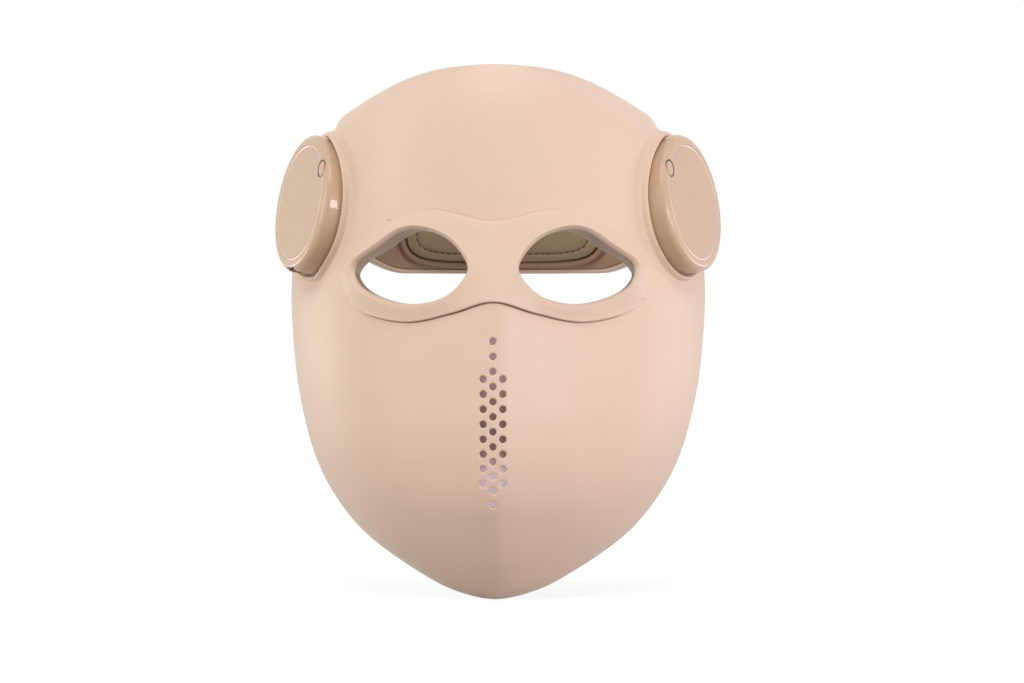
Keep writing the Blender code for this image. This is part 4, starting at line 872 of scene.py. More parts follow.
def portRing(b, grow):  # the four corners of the charge port, this far up the pod's side
    centre, forward, up, outward = podAxes("right")
    halfWide, base, tall = port["halfWide"], port["base"], port["tall"]
    middle = base + tall / 2
    top = halfWide * port["narrow"]
    corners = ((-halfWide, base), (halfWide, base), (top, base + tall), (-top, base + tall))
    return [centre + a * (1 + grow / halfWide) * forward + b * up
            + (middle + (h - middle) * (1 + 2 * grow / tall)) * outward for a, h in corners]


def makePodCap(side, lacquer, paintedShadeLining):
    radius, skirt, bevel = pod["radius"], -cap["skirt"], cap["bevel"]
    groove = pod["inlayWidth"] / 2 + cap["grooveRoom"]
    low, high = pod["inlayRadius"] - groove, pod["inlayRadius"] + groove
    line = [(0.0, 0.0), (cap["innerRing"], 0.0), (low, 0.0), (low, -cap["grooveDepth"]), (high, -cap["grooveDepth"]),
            (high, 0.0), *roundedCorner(radius, 0.0, pod["edge"], cap["roundSteps"])[1:],
            (radius, cap["sideRing"]), (radius, skirt + bevel), (radius - bevel, skirt),
            (radius - cap["side"], skirt), (radius - cap["side"], -cap["wall"]), (0.0, -cap["wall"])]
    piece = addRings(f"podCap_{side}", turnedPoints(side, line, cap["segments"]), lacquer, "mask",
                     (f"pod_cap_{side}",))
    cutters = [buttonBore(side)]
    if side == "right":
        rows = [portRing(port["outside"], 0.0), portRing(port["inner"], 0.0)]
        cutters.append(addMesh("cutter", np.vstack(rows), latheFaces(rows) + endFaces(rows)))
        # A black lining over the port's cut walls: painted shade for the dark inside of the port
        inner, mouth, sleeve = port["inner"], port["mouth"], port["sleeve"]
        rows = [portRing(inner, -2 * sleeve), portRing(mouth, -sleeve), portRing(mouth, sleeve),
                portRing(inner + port["sleeveEnd"], sleeve)]
        addRings("portPaintedShadeSleeve", rows, paintedShadeLining, "mask", (), ends=True)
    cutAway(piece, cutters)


trim = {
    "inlay": ((0.5, 0.0), (1.0, -0.00012), (1.0, -0.00055)),
    "buttonTop": -0.0001,
    "buttonRound": 0.0002,
    "roundSteps": 4,
    "topRings": 6,
    "stem": ((0.0012, -0.0026), (0.0012, -0.0033), (0.0, -0.0033)),
    # The last profile is a brown ring filling the button's gap: painted shade
    "paintedShadeLining": ((-0.00026, -0.0012), (-0.00026, -0.00012), (-0.0002, -0.00004), (0.00022, 0.00003),
             (0.00034, -0.00002), (0.00034, -0.0012)),
}


def makePodTrim(side, inlay, lacquer, paintedShadeLining):
    middle, half = pod["inlayRadius"], pod["inlayWidth"] / 2
    line = [(middle - half * r, h) for r, h in trim["inlay"][::-1]]
    line += [(middle + half * r, h) for r, h in trim["inlay"]]
    ring = addRings(f"inlayRing_{side}", turnedPoints(side, line, cap["segments"]), inlay, "mask",
                    (f"inlay_ring_{side}",), True)
    cutAway(ring, [buttonBore(side)])
    name = "power_button" if side == "right" else "mode_button"
    size, top, hole = pod["buttonRadius"], trim["buttonTop"], pod["buttonRadius"] + pod["buttonGap"]
    line = [*[(size * k / trim["topRings"], top) for k in range(trim["topRings"])],
            *roundedCorner(size, top, trim["buttonRound"], trim["roundSteps"]),
            (size, trim["stem"][0][1]), *trim["stem"]]
    rows = [onPodFace(row, side) for row in buttonRings(side, line)]
    addRings(f"{name}Cap", rows, lacquer, name, (name,))
    # A brown ring filling the gap round the button: painted shade of the gap
    rows = [onPodFace(row, side) for row in buttonRings(side, [(hole + r, h) for r, h in trim["paintedShadeLining"]])]
    addRings(f"buttonGapPaintedShade_{side}", rows, paintedShadeLining, "mask", (), True)


def onPodFace(points, side):  # lowered where the pod's face rounds off
    radius, _, height = podPlace(points, side)
    over = np.clip(radius - pod["radius"] + pod["edge"], 0.0, pod["edge"])
    drop = (pod["edge"] - np.sqrt(pod["edge"]**2 - over**2)) * (height > -pod["edge"] / 2)
    return points - drop[:, None] * podAxes(side)[3]


collar = {
    "steps": 160,
    "lowered": 0.0035,
    "loweredToward": math.radians(-25.0),
    "loweredFrom": (-0.35, 0.15),
    "round": 0.0009,
    "roundSteps": 5,
    "bevel": 0.0003,
}


def makeCollarRing(side, finish):  # the free part of the collar, behind the rim
    angles = 2 * math.pi * np.arange(collar["steps"]) / collar["steps"]
    front = smoothStep(np.cos(angles - collar["loweredToward"]), *collar["loweredFrom"])
    top = -pod["collarDrop"] - collar["lowered"] * front
    inner, outer, low = pod["bore"] + pod["touch"], pod["bore"] + pod["collarWidth"], -pod["depth"]
    section = roundedCorner(inner, 0.0, collar["round"], collar["roundSteps"], left=True)
    section += roundedCorner(outer, 0.0, collar["round"], collar["roundSteps"])
    foot = ((outer, low + collar["bevel"]), (outer - collar["bevel"], low), (inner, low))
    rows = [podPoint(side, r, angles, top + h) for r, h in section] + [podPoint(side, r, angles, h) for r, h in foot]
    addRings(f"collarRing_{side}", rows, finish, "mask", (), True)


# The rear band: one line, straight along the arms and then half an ellipse round the head

band = {
    "armLine": 0.0825,
    "sleeveStart": 0.0320,
    "curveStart": 0.0700,
    "rearReach": 0.1274,
    "armThickness": 0.0025,
    "fit": 0.0004,
    "wall": 0.0020,
    "lip": 0.0018,
    "cover": 0.0018,
    "halfHeight": 0.0265,
    "sleeveHalf": 0.0135,
    "fullRun": 0.0500,
    "taper": 0.0450,
    "corner": 0.0030,
    "cornerSteps": 6,
    "curveSamples": 300,
    "stations": 110,
    "edge": 0.0005,
    "edgeShare": 0.3,
    "coverGap": 0.0003,
    "coverEdge": 0.0004,
}
band["channel"] = band["armThickness"] / 2 + band["fit"]
band["coverFace"] = band["channel"] + band["cover"]


def bandLine():
    turn = np.linspace(math.pi / 2, 0.0, band["curveSamples"])
    curve = np.stack([band["armLine"] * np.cos(turn),
                      band["curveStart"] + (band["rearReach"] - band["curveStart"]) * np.sin(turn)], axis=1)
    line = np.vstack([curve, [[band["armLine"], band["sleeveStart"]]]])
    return line, runAlong(line)


bandXy, bandRun = bandLine()
halfBand = float(bandRun[-1])


def bandPoint(run, inward, height):  # along the band from its middle, towards the head, and up
    run, inward, height = np.broadcast_arrays(*(np.asarray(v, float) for v in (run, inward, height)))
    at = np.abs(run)
    probe = halfBand / 1000
    low = np.clip(at - probe, 0.0, halfBand - 2 * probe)
    here = [np.interp(at, bandRun, bandXy[:, k]) for k in (0, 1)]
    ahead = [np.interp(low + 2 * probe, bandRun, bandXy[:, k]) - np.interp(low, bandRun, bandXy[:, k])
             for k in (0, 1)]
    ahead[1] = np.where(at < probe, 0.0, ahead[1])
    size = np.hypot(*ahead)
    x = here[0] + inward * ahead[1] / size
    y = here[1] - inward * ahead[0] / size
    return np.stack([np.where(run < 0, -x, x), y, height], axis=-1)


def bandHalf(run):  # half the band's height, tall behind the head and low at the arms
    ease = smoothStep(np.abs(run) - band["fullRun"], 0.0, band["taper"])
    return band["halfHeight"] + (band["sleeveHalf"] - band["halfHeight"]) * ease


def bandBody(name, section, finish, node):  # section gives the upper half of the band's section, as (inward, height)
    rows = []
    for run in np.linspace(-halfBand, halfBand, band["stations"] + 1):
        top = section(bandHalf(run))
        whole = [*top, *[(inward, -height) for inward, height in top[:0:-1]]]
        rows.append(np.array([bandPoint(run, inward, height) for inward, height in whole]))
    addRings(name, rows, finish, "rear_cradle", (node,), ends=True)


def shellSection(half):
    back, inner, edge, lip = -band["channel"] - band["wall"], band["coverFace"], band["edge"], half - band["lip"]
    return [(back, 0.0), *roundedCorner(back, half, band["corner"], band["cornerSteps"], left=True),
            (inner - edge, half), (inner - edge * band["edgeShare"], half - edge * band["edgeShare"]),
            (inner, half - edge), (inner, lip), (-band["channel"], lip)]


def coverSection(half):
    top, inner, edge = half - band["lip"] - band["coverGap"], band["coverFace"], band["coverEdge"]
    return [(inner, 0.0), (inner, top - edge), (inner - edge * band["edgeShare"], top - edge * band["edgeShare"]),
            (inner - edge, top), (band["channel"], top)]


# The head pad: leatherette over foam, swelled by cloth, with a sewn seam near its edge

pad = {
    "halfWidth": 0.0520,
    "halfHeight": 0.0205,
    "board": 0.0015,
    "seat": 0.0006,
    "bezelWidth": 0.0030,
    "bezelHeight": 0.0028,
    "bezelGap": 0.0004,
    "bezelSteps": 10,
    "samples": 1600,
    "segments": 320,
    "border": 0.0078,
    "seamIn": 0.0034,
    "seamDepth": 0.0013,
    "seamWidth": 0.0007,
    "profile": ((0.0, 0.0016), (0.0003, 0.0031), (0.0009, 0.0046), (0.0018, 0.0056), (0.0027, 0.0061),
                (0.0034, 0.0063), (0.0045, 0.0071), (0.0060, 0.0081), (0.0078, 0.0089), (0.0110, 0.0098),
                (0.0150, 0.0105), (0.0205, 0.0109)),
    "backRings": (0.015, 0.010, 0.005, 0.002, 0.0008),
    "foot": ((-0.0003, 0.0002), (0.0, 0.0008)),
    "insets": (0.0, 0.0002, 0.0005, 0.0009, 0.0014, 0.0019, 0.0023, 0.0026, 0.0028, 0.0030, 0.0032, 0.0034, 0.0036,
               0.0038, 0.0040, 0.0043, 0.0047, 0.0052, 0.0058, 0.0065, 0.0073, 0.0083, 0.0096, 0.0112, 0.0130,
               0.0150, 0.0170, 0.0188, 0.0200),
    "puffVoxel": 0.0032,
    "puffCap": 0.0010,
    "pressure": 4.0,
    "stiffness": 40.0,
    "frames": 20,
    "stitchLength": 0.0021,
    "stitchAhead": 0.0002,
    "stitchPitch": 0.0031,
    "stitchRadius": 0.00036,
    "stitchBow": 2.2,
    "stitchEnds": 0.75,
    "stitchRings": 7,
    "stitchSides": 8,
}
pad["back"] = band["coverFace"] + 2 * pad["seat"] + pad["board"]
padProfile = smoothCurve(pad["profile"])


def padRow(grow, inward):  # a ring this far outside the pad's outline, and this far in from the band's line
    border = max(grow, -pad["border"])
    loop = grown(softBlock(pad["halfWidth"], pad["halfHeight"], pad["samples"], pad["segments"]), border)
    loop = loop * (1 + (grow - border) / (pad["halfHeight"] - pad["border"]))
    return bandPoint(loop[:, 0], inward, loop[:, 1])


def makeBezel(finish):
    low, gap, half = band["coverFace"] + pad["seat"], pad["bezelGap"], pad["bezelWidth"] / 2
    rows = [padRow(gap, low), padRow(gap + pad["bezelWidth"], low)]
    for k in range(pad["bezelSteps"] + 1):
        a = math.pi * k / pad["bezelSteps"]
        rows.append(padRow(gap + half * (1 + math.cos(a)), low + pad["bezelHeight"] - half * (1 - math.sin(a))))
    addRings("padBezel", rows, finish, "rear_cradle", ("pad_bezel",), True)


def puffed(points, faces, movable):  # foam pressure on a coarse copy, read back on the fine mesh, and capped
    copy = addMesh("puffCopy", points, faces, cleaned=False)
    coarse = copy.modifiers.new("coarse", "REMESH")
    coarse.mode = "VOXEL"
    coarse.voxel_size = pad["puffVoxel"]
    shown = copy.evaluated_get(bpy.context.evaluated_depsgraph_get())
    copy.data = bpy.data.meshes.new_from_object(shown)
    copy.modifiers.clear()
    foam = copy.modifiers.new("foam", "CLOTH").settings
    foam.quality = 6
    foam.use_pressure = True
    foam.uniform_pressure_force = pad["pressure"]
    foam.tension_stiffness = pad["stiffness"]
    foam.compression_stiffness = pad["stiffness"]
    foam.effector_weights.gravity = 0.0
    for step in range(1, pad["frames"] + 1):
        bpy.context.scene.frame_set(step)
    tree = BVHTree.FromObject(copy, bpy.context.evaluated_depsgraph_get())
    moved = points.copy()
    for i in np.where(movable)[0]:
        push = np.array(tree.find_nearest(Vector(points[i]))[0]) - points[i]
        moved[i] += push * min(1.0, pad["puffCap"] / max(float(np.linalg.norm(push)), 1e-9))
    bpy.context.scene.frame_set(1)
    bpy.data.objects.remove(copy)
    return moved


def makeHeadPad(leather):  # the pad, and the ring of points along its seam
    back, count = pad["back"], pad["segments"]
    rows = [np.array([bandPoint(0.0, back, 0.0)])]
    rows += [padRow(-inset, back) for inset in pad["backRings"]]
    rows += [padRow(grow, back + rise) for grow, rise in pad["foot"]]
    low = sum(map(len, rows))
    rows += [padRow(-inset, back + float(padProfile(inset))) for inset in pad["insets"]]
    rows.append(np.array([bandPoint(0.0, back + pad["profile"][-1][1], 0.0)]))
    points = np.vstack(rows)
    faces = latheFaces(rows)
    points = puffed(points, faces, np.arange(len(points)) >= low + count)
    for k, inset in enumerate(pad["insets"]):
        pull = pad["seamDepth"] * math.exp(-(((inset - pad["seamIn"]) / pad["seamWidth"]) ** 2))
        outwards = padRow(-inset, back) - padRow(-inset, back + 1.0)
        points[low + k * count:low + (k + 1) * count] += outwards * pull
    piece = addPiece("headPad", points, faces, leather, "rear_cradle", ("head_pad",))
    seam = low + pad["insets"].index(pad["seamIn"]) * count
    return piece, points[seam:seam + count]


def makeStitches(seam, thread):  # short runs of thread that dip into the leather at both ends
    closed = np.vstack([seam, seam[:1]])
    run = runAlong(closed)
    count = int(run[-1] / pad["stitchPitch"])
    turn = 2 * math.pi * np.arange(pad["stitchSides"]) / pad["stitchSides"]
    points = []
    faces = []
    for i in range(count):
        rings = []
        for share in np.arange(pad["stitchRings"]) / (pad["stitchRings"] - 1):
            at = run[-1] * i / count + pad["stitchLength"] * share
            here, there = (np.array([np.interp(place % run[-1], run, closed[:, j]) for j in range(3)])
                           for place in (at, at + pad["stitchAhead"]))
            along = unit(there - here)
            across = unit(np.cross(along, (0.0, -1.0, 0.0)))
            out = np.cross(across, along)
            bow = math.sin(math.pi * share)
            middle = here + out * pad["stitchRadius"] * (pad["stitchBow"] * bow - 1.0)
            size = pad["stitchRadius"] * (pad["stitchEnds"] + (1 - pad["stitchEnds"]) * bow)
            rings.append(middle + size * (np.cos(turn)[:, None] * across + np.sin(turn)[:, None] * out))
        faces += [tuple(len(points) + k for k in f) for f in latheFaces(rings) + endFaces(rings)]
        points.extend(np.vstack(rings))
    addPiece("padStitches", points, faces, thread, "rear_cradle", ())


# The soft pieces on the wearer's side: nose pad, brow pad and a light shield round each eye

soft = {
    "inset": 0.0130,
    "thickness": 0.0045,
    "nose": {"halfWidth": 0.0170, "topShare": 0.498, "length": 0.0200},
    "brow": {"halfWidth": 0.0300, "topShare": 0.1262, "length": 0.0160},
    "shieldNear": 0.0030,
    "shieldWidth": 0.0039,
    "samples": 800,
    "steps": 72,
    "sharp": 50.0,
    "ribs": (
        (0.02, 0.0), (0.35, 0.0), (0.7, 0.0), (0.93, 0.0), (0.98, 0.04), (1.0, 0.18), (1.0, 0.45), (0.985, 0.68),
        (0.955, 0.86), (0.91, 0.96), (0.86, 1.0), (0.80, 0.97), (0.76, 0.86), (0.72, 0.82), (0.66, 0.80),
        (0.60, 0.88), (0.55, 0.88), (0.49, 0.80), (0.43, 0.88), (0.38, 0.88), (0.32, 0.80), (0.26, 0.88),
        (0.20, 0.88), (0.13, 0.82), (0.02, 0.82),
    ),
    "shield": (
        (0.05, 0.0), (0.5, 0.0), (0.95, 0.0), (1.0, 0.0005), (0.99, 0.0020), (0.93, 0.0034), (0.80, 0.0046),
        (0.66, 0.0057), (0.57, 0.0066), (0.52, 0.0069), (0.46, 0.0068), (0.43, 0.0061), (0.34, 0.0051),
        (0.20, 0.0043), (0.06, 0.0033), (0.0, 0.0020), (0.0, 0.0005),
    ),
}


def makeSoftPatch(name, node, size, saddle, finish):  # a moulded pad with a rolled edge and shallow ribs
    middle = np.array([0.0, face["top"] - face["height"] * size["topShare"] - size["length"] / 2])
    loop = softBlock(size["halfWidth"], size["length"] / 2, soft["samples"], soft["steps"])
    rows = []
    for share, rise in soft["ribs"]:
        lift = soft["thickness"] * rise
        inward, back = (0.0, lift) if saddle else (lift, 0.0)
        rows.append(onLayer(middle + loop * share, soft["inset"] + inward, back))
    return addRings(name, rows, finish, "mask", (node,), sharp=soft["sharp"], ends=True)


def makeEyeShield(side, finish):
    rows = []
    for wide, back in soft["shield"]:
        grow = soft["shieldNear"] + soft["shieldWidth"] * wide
        rows.append(onLayer(eyeLoop(sides[side], eyes["rearFrame"], grow), soft["inset"], back))
    addRings(f"eyeShield_{side}", rows, finish, "mask", (f"eye_shield_{side}",), True, soft["sharp"])


# Finishes

def linearColour(hexColour):
    channels = [int(hexColour[i:i + 2], 16) / 255 for i in (0, 2, 4)]
    return (*[c / 12.92 if c <= 0.04045 else ((c + 0.055) / 1.055) ** 2.4 for c in channels], 1.0)


def perMm(size):  # a texture scale whose features are this many millimetres across
    return 1000.0 / size


def addNode(tree, kind, sockets=None, stops=(), **settings):  # its settings, values, links and colour stops
    node = tree.nodes.new("ShaderNode" + kind)
    for name, value in settings.items():
        setattr(node, name, value)
    for socket, value in (sockets or {}).items():
        if isinstance(value, bpy.types.NodeSocket):
            tree.links.new(value, node.inputs[socket])
        else:
            node.inputs[socket].default_value = value
    for _ in stops[2:]:
        node.color_ramp.elements.new(0.5)
    for element, (place, hexColour) in zip(node.color_ramp.elements if stops else (), stops):
        element.position = place
        element.color = linearColour(hexColour)
    return node.outputs


def connect(tree, shader, sources):
    for socket, source in sources.items():
        tree.links.new(source, shader[socket])


def makeFinish(name, even, tint=(), gloss=(), grain=()):  # even values, then cloudy colour and gloss, and fine bumps
    made = bpy.data.materials.new(name)
    made.use_nodes = True
    tree = made.node_tree
    shader = tree.nodes["Principled BSDF"].inputs
    for socket, value in even.items():
        shader[socket].default_value = value
    at = addNode(tree, "TexCoord")["Object"]
    if tint:  # size of the clouds in millimetres, their detail, and the colour stops
        clouds = addNode(tree, "TexNoise", {"Vector": at, "Scale": perMm(tint[0]), "Detail": tint[1]})["Fac"]
        connect(tree, shader, {"Base Color": addNode(tree, "ValToRGB", {"Fac": clouds}, tint[2:])["Color"]})
    if gloss:  # size of the clouds in millimetres, least and most roughness
        clouds = addNode(tree, "TexNoise", {"Vector": at, "Scale": perMm(gloss[0]), "Detail": 3.0})["Fac"]
        rough = addNode(tree, "MapRange", {"Value": clouds, "To Min": gloss[1], "To Max": gloss[2]})["Result"]
        connect(tree, shader, {"Roughness": rough})
    under = {}
    for size, detail, depth, strength in grain:  # grain size in millimetres, its detail, depth and strength
        height = addNode(tree, "TexNoise", {"Vector": at, "Scale": perMm(size), "Detail": detail})["Fac"]
        bump = addNode(tree, "Bump", {"Height": height, "Distance": depth, "Strength": strength, **under})
        under = {"Normal": bump["Normal"]}
    connect(tree, shader, under)
    return made, tree, shader, at


plainFinishes = {
    # Soft-touch champagne paint sprayed on moulded ABS: an even, velvety satin with a faint orange peel
    "satinPaintedAbs": dict(
        even={"IOR": 1.47, "Specular IOR Level": 0.42, "Sheen Weight": 0.22, "Sheen Roughness": 0.45},
        tint=(42.0, 2.0, (0.25, "E0C5B2"), (0.75, "E3C9B7")), gloss=(7.0, 0.40, 0.47),
        grain=((1.6, 2.0, 0.000020, 0.35), (0.28, 2.0, 0.000006, 0.5))),
    # A thin ring of rose foil under lacquer: a little metal in it, so it glints pale pink
    "roseFoilInlay": dict(
        even={"Metallic": 0.35, "Coat Weight": 0.5, "Coat Roughness": 0.1},
        tint=(1.2, 3.0, (0.2, "E2C3BC"), (0.8, "EFD6CF")), gloss=(0.4, 0.26, 0.36)),
    # White ABS from a spark-eroded mould: matt, with a fine even grain
    "sparkGrainAbs": dict(
        even={"IOR": 1.53}, tint=(30.0, 3.0, (0.3, "E6E3DE"), (0.7, "ECE9E4")), gloss=(4.0, 0.42, 0.52),
        grain=((0.35, 3.0, 0.000025, 0.6),)),
    # Painted shade: a duller, browner taupe ABS that stands in for the shade inside the eye tunnels and on the
    # band's cover and bezel, with the mould's fine grain
    "paintedShadeTaupeAbs": dict(
        even={"IOR": 1.53, "Specular IOR Level": 0.4}, tint=(24.0, 3.0, (0.3, "A5866C"), (0.7, "AD8F76")),
        gloss=(3.0, 0.46, 0.58), grain=((0.4, 3.0, 0.00002, 0.5),)),
    # Clear moulded polycarbonate: glass-clear, with the faint flow waves of moulding
    "clearPolycarbonate": dict(
        even={"IOR": 1.585, "Transmission Weight": 1.0, "Base Color": linearColour("F4F6F5")},
        gloss=(12.0, 0.05, 0.11), grain=((18.0, 1.0, 0.00003, 0.3),)),
    # The aluminium laminate pouch of a lithium cell: bright, with soft creases
    "aluminiumLaminate": dict(
        even={"Metallic": 0.85}, tint=(9.0, 3.0, (0.3, "B4B8BE"), (0.7, "C6C9CE")), gloss=(3.0, 0.28, 0.42),
        grain=((5.0, 4.0, 0.00015, 0.6),)),
    # Liquid silicone rubber with a matt skin: soft-looking, light passes a little way in
    "mattSilicone": dict(
        even={"IOR": 1.41, "Subsurface Weight": 0.25, "Subsurface Radius": (0.004, 0.002, 0.0015),
              "Subsurface Scale": 1.0, "Sheen Weight": 0.15, "Sheen Roughness": 0.5},
        tint=(14.0, 3.0, (0.3, "DFC9BA"), (0.7, "E5D1C3")), gloss=(3.0, 0.55, 0.68),
        grain=((0.25, 3.0, 0.000012, 0.5),)),
    # Zinc-nickel plated steel: grey metal with the fine lines of turning
    "nickelPlatedSteel": dict(
        even={"Metallic": 1.0}, tint=(2.0, 3.0, (0.3, "B4B1AB"), (0.7, "C5C2BC")), gloss=(0.35, 0.24, 0.38),
        grain=((0.2, 3.0, 0.00001, 0.4),)),
    # Soft PVC sheath: half matt grey, with the faint waviness of extrusion
    "greyPvcSheath": dict(
        even={"IOR": 1.53}, tint=(8.0, 3.0, (0.3, "87837F"), (0.7, "94908B")), gloss=(2.0, 0.42, 0.55),
        grain=((1.0, 3.0, 0.00002, 0.4),)),
}


nylonDyes = {
    "blackNylon": ("171717", "222221"),
    "brownNylonPaintedShade": ("43352B", "4E3E33"),
    "naturalNylon": ("E2DCCD", "EBE6D9"),
}
for name, (dark, light) in nylonDyes.items():  # moulded nylon, dyed or left cream: waxy, half matt, slightly mottled; the brown one is painted shade in the buttons' gaps, and the black one also lines the charge port as painted shade
    plainFinishes[name] = dict(
        even={"IOR": 1.53}, tint=(3.0, 3.0, (0.3, dark), (0.7, light)), gloss=(1.0, 0.42, 0.55),
        grain=((0.3, 3.0, 0.00002, 0.5),))


def lacqueredPod():
    # Pearl lacquer under a clear coat on ABS: deeper than the shell's paint, with sharp reflections
    even = {"IOR": 1.5, "Specular IOR Level": 0.4, "Coat Weight": 0.35, "Coat Roughness": 0.04, "Coat IOR": 1.5}
    gloss, grain = (5.0, 0.30, 0.38), ((4.0, 1.0, 0.000012, 0.3),)
    made, tree, shader, at = makeFinish("pearlLacquerOnAbs", even, (), gloss, grain)
    flake = addNode(tree, "TexVoronoi", {"Vector": at, "Scale": perMm(0.30)})["Color"]
    pearl = addNode(tree, "SeparateColor", {"Color": flake})["Red"]
    colour = addNode(tree, "ValToRGB", {"Fac": pearl}, ((0.1, "C7A78B"), (0.9, "CEAF95")))["Color"]
    connect(tree, shader, {"Base Color": colour})
    return made


def frostedDiffuser():
    # A frosted film in front of the light boards: milky and rough, mauve grey, with painted light making it pale low
    # down over the chin's board and painted shade darkening it higher up
    even = {"IOR": 1.49, "Transmission Weight": 0.15, "Emission Strength": 0.45}  # painted glow: the film gives off light of its own colour, as if lit through by the white boards
    made, tree, shader, at = makeFinish("frostedFilmPaintedGlowAndShade", even, (), (0.5, 0.5, 0.7))
    height = addNode(tree, "SeparateXYZ", {"Vector": at})["Z"]
    low, high = (p.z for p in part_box("vent_liner"))
    place = addNode(tree, "MapRange", {"Value": height, "From Min": low, "From Max": high})["Result"]
    clouds = addNode(tree, "TexNoise", {"Vector": at, "Scale": perMm(5.0), "Detail": 3.0})["Fac"]
    ragged = addNode(tree, "Math", {0: clouds, 1: 0.12, 2: place}, operation="MULTIPLY_ADD")[0]
    # Painted light and shade by height: pale low down, dark through the middle, a little paler again towards the top
    colour = addNode(tree, "ValToRGB", {"Fac": ragged}, (
        (0.0, "C6BFC8"), (0.28, "C9C0C9"), (0.37, "917A7D"), (0.43, "7C6563"), (0.62, "7E6766"), (0.80, "A08C92"),
        (1.0, "A5949A")))["Color"]
    connect(tree, shader, {"Base Color": colour, "Emission Color": colour})
    return made


def ledBoard():
    # White solder mask on a flexible board: even and slightly glossy, with the copper lines just raised
    tint = (20.0, 3.0, (0.3, "EFEFEA"), (0.7, "F5F4EF"))
    made, tree, shader, at = makeFinish("whiteSolderMask", {"IOR": 1.5}, tint)
    lines = addNode(tree, "TexBrick", {"Vector": at, "Scale": perMm(6.0), "Mortar Size": 0.06})["Fac"]
    raised = addNode(tree, "Bump", {"Height": lines, "Distance": 0.00003, "Strength": 0.5})["Normal"]
    rough = addNode(tree, "MapRange", {"Value": lines, "To Min": 0.32, "To Max": 0.45})["Result"]
    connect(tree, shader, {"Normal": raised, "Roughness": rough})
    return made


def podBoard():
    # Green solder mask on glass-fibre board, with lighter copper lines under it
    made, tree, shader, at = makeFinish("greenSolderMask", {"IOR": 1.5}, (), (2.0, 0.28, 0.42))
    lines = addNode(tree, "TexBrick", {"Vector": at, "Scale": perMm(3.0), "Mortar Size": 0.10})["Fac"]
    colour = addNode(tree, "ValToRGB", {"Fac": lines}, ((0.0, "2C6446"), (1.0, "3F8A62")))["Color"]
    raised = addNode(tree, "Bump", {"Height": lines, "Distance": 0.00003, "Strength": 0.5})["Normal"]
    connect(tree, shader, {"Base Color": colour, "Normal": raised})
    return made


def khakiLeatherette():
    # Embossed polyurethane on cloth: small pebbles with duller valleys between them, drawn darker by painted shade
    made, tree, shader, at = makeFinish("embossedLeatherette", {"IOR": 1.48, "Sheen Weight": 0.08})
    cells = addNode(tree, "TexVoronoi", {"Vector": at, "Scale": perMm(0.7), "Smoothness": 0.8, "Randomness": 0.9},
                    feature="SMOOTH_F1")["Distance"]
    clouds = addNode(tree, "TexNoise", {"Vector": at, "Scale": perMm(16.0), "Detail": 3.0})["Fac"]
    # Painted shade darkens the valleys; the large clouds are the leather's own uneven tone
    tone = addNode(tree, "Math", {0: clouds, 1: 0.35, 2: cells}, operation="MULTIPLY_ADD")[0]
    colour = addNode(tree, "ValToRGB", {"Fac": tone}, ((0.15, "B8A080"), (0.95, "AC9474")))["Color"]
    rough = addNode(tree, "MapRange", {"Value": cells, "To Min": 0.46, "To Max": 0.58})["Result"]
    pebbles = addNode(tree, "Math", {0: 1.0, 1: cells}, operation="SUBTRACT")[0]
    grain = addNode(tree, "Bump", {"Height": pebbles, "Distance": 0.00007, "Strength": 0.5})["Normal"]
    fine = addNode(tree, "TexNoise", {"Vector": at, "Scale": perMm(0.3), "Detail": 3.0})["Fac"]
    skin = addNode(tree, "Bump", {"Height": fine, "Distance": 0.00002, "Strength": 0.4, "Normal": grain})["Normal"]
    connect(tree, shader, {"Base Color": colour, "Roughness": rough, "Normal": skin})
    return made


def bondedThread():
    # Bonded nylon thread: three plies twisted together, slightly shiny, drawn darker in the grooves between the
    # plies by painted shade
    made, tree, shader, at = makeFinish("bondedNylonThread", {"IOR": 1.53, "Sheen Weight": 0.2})
    plies = addNode(tree, "TexWave", {"Vector": at, "Scale": perMm(2.0), "Distortion": 0.5})["Fac"]
    # Painted shade: darker where the twist dips between plies
    colour = addNode(tree, "ValToRGB", {"Fac": plies}, ((0.2, "4E3A24"), (0.8, "6E563A")))["Color"]
    rough = addNode(tree, "MapRange", {"Value": plies, "To Min": 0.45, "To Max": 0.6})["Result"]
    twist = addNode(tree, "Bump", {"Height": plies, "Distance": 0.00005, "Strength": 0.7})["Normal"]
    connect(tree, shader, {"Base Color": colour, "Roughness": rough, "Normal": twist})
    return made


# Lights, floor and camera

def addLamp(name, place, aim, size, power, colour):
    data = bpy.data.lights.new(name, "AREA")
    data.shape = "RECTANGLE"
    data.size, data.size_y = size
    data.energy = power
    data.color = linearColour(colour)[:3]
    lamp = bpy.data.objects.new(name, data)
    bpy.context.scene.collection.objects.link(lamp)
    lamp.location = place
    lamp.rotation_euler = (Vector(aim) - Vector(place)).to_track_quat("-Z", "Y").to_euler()


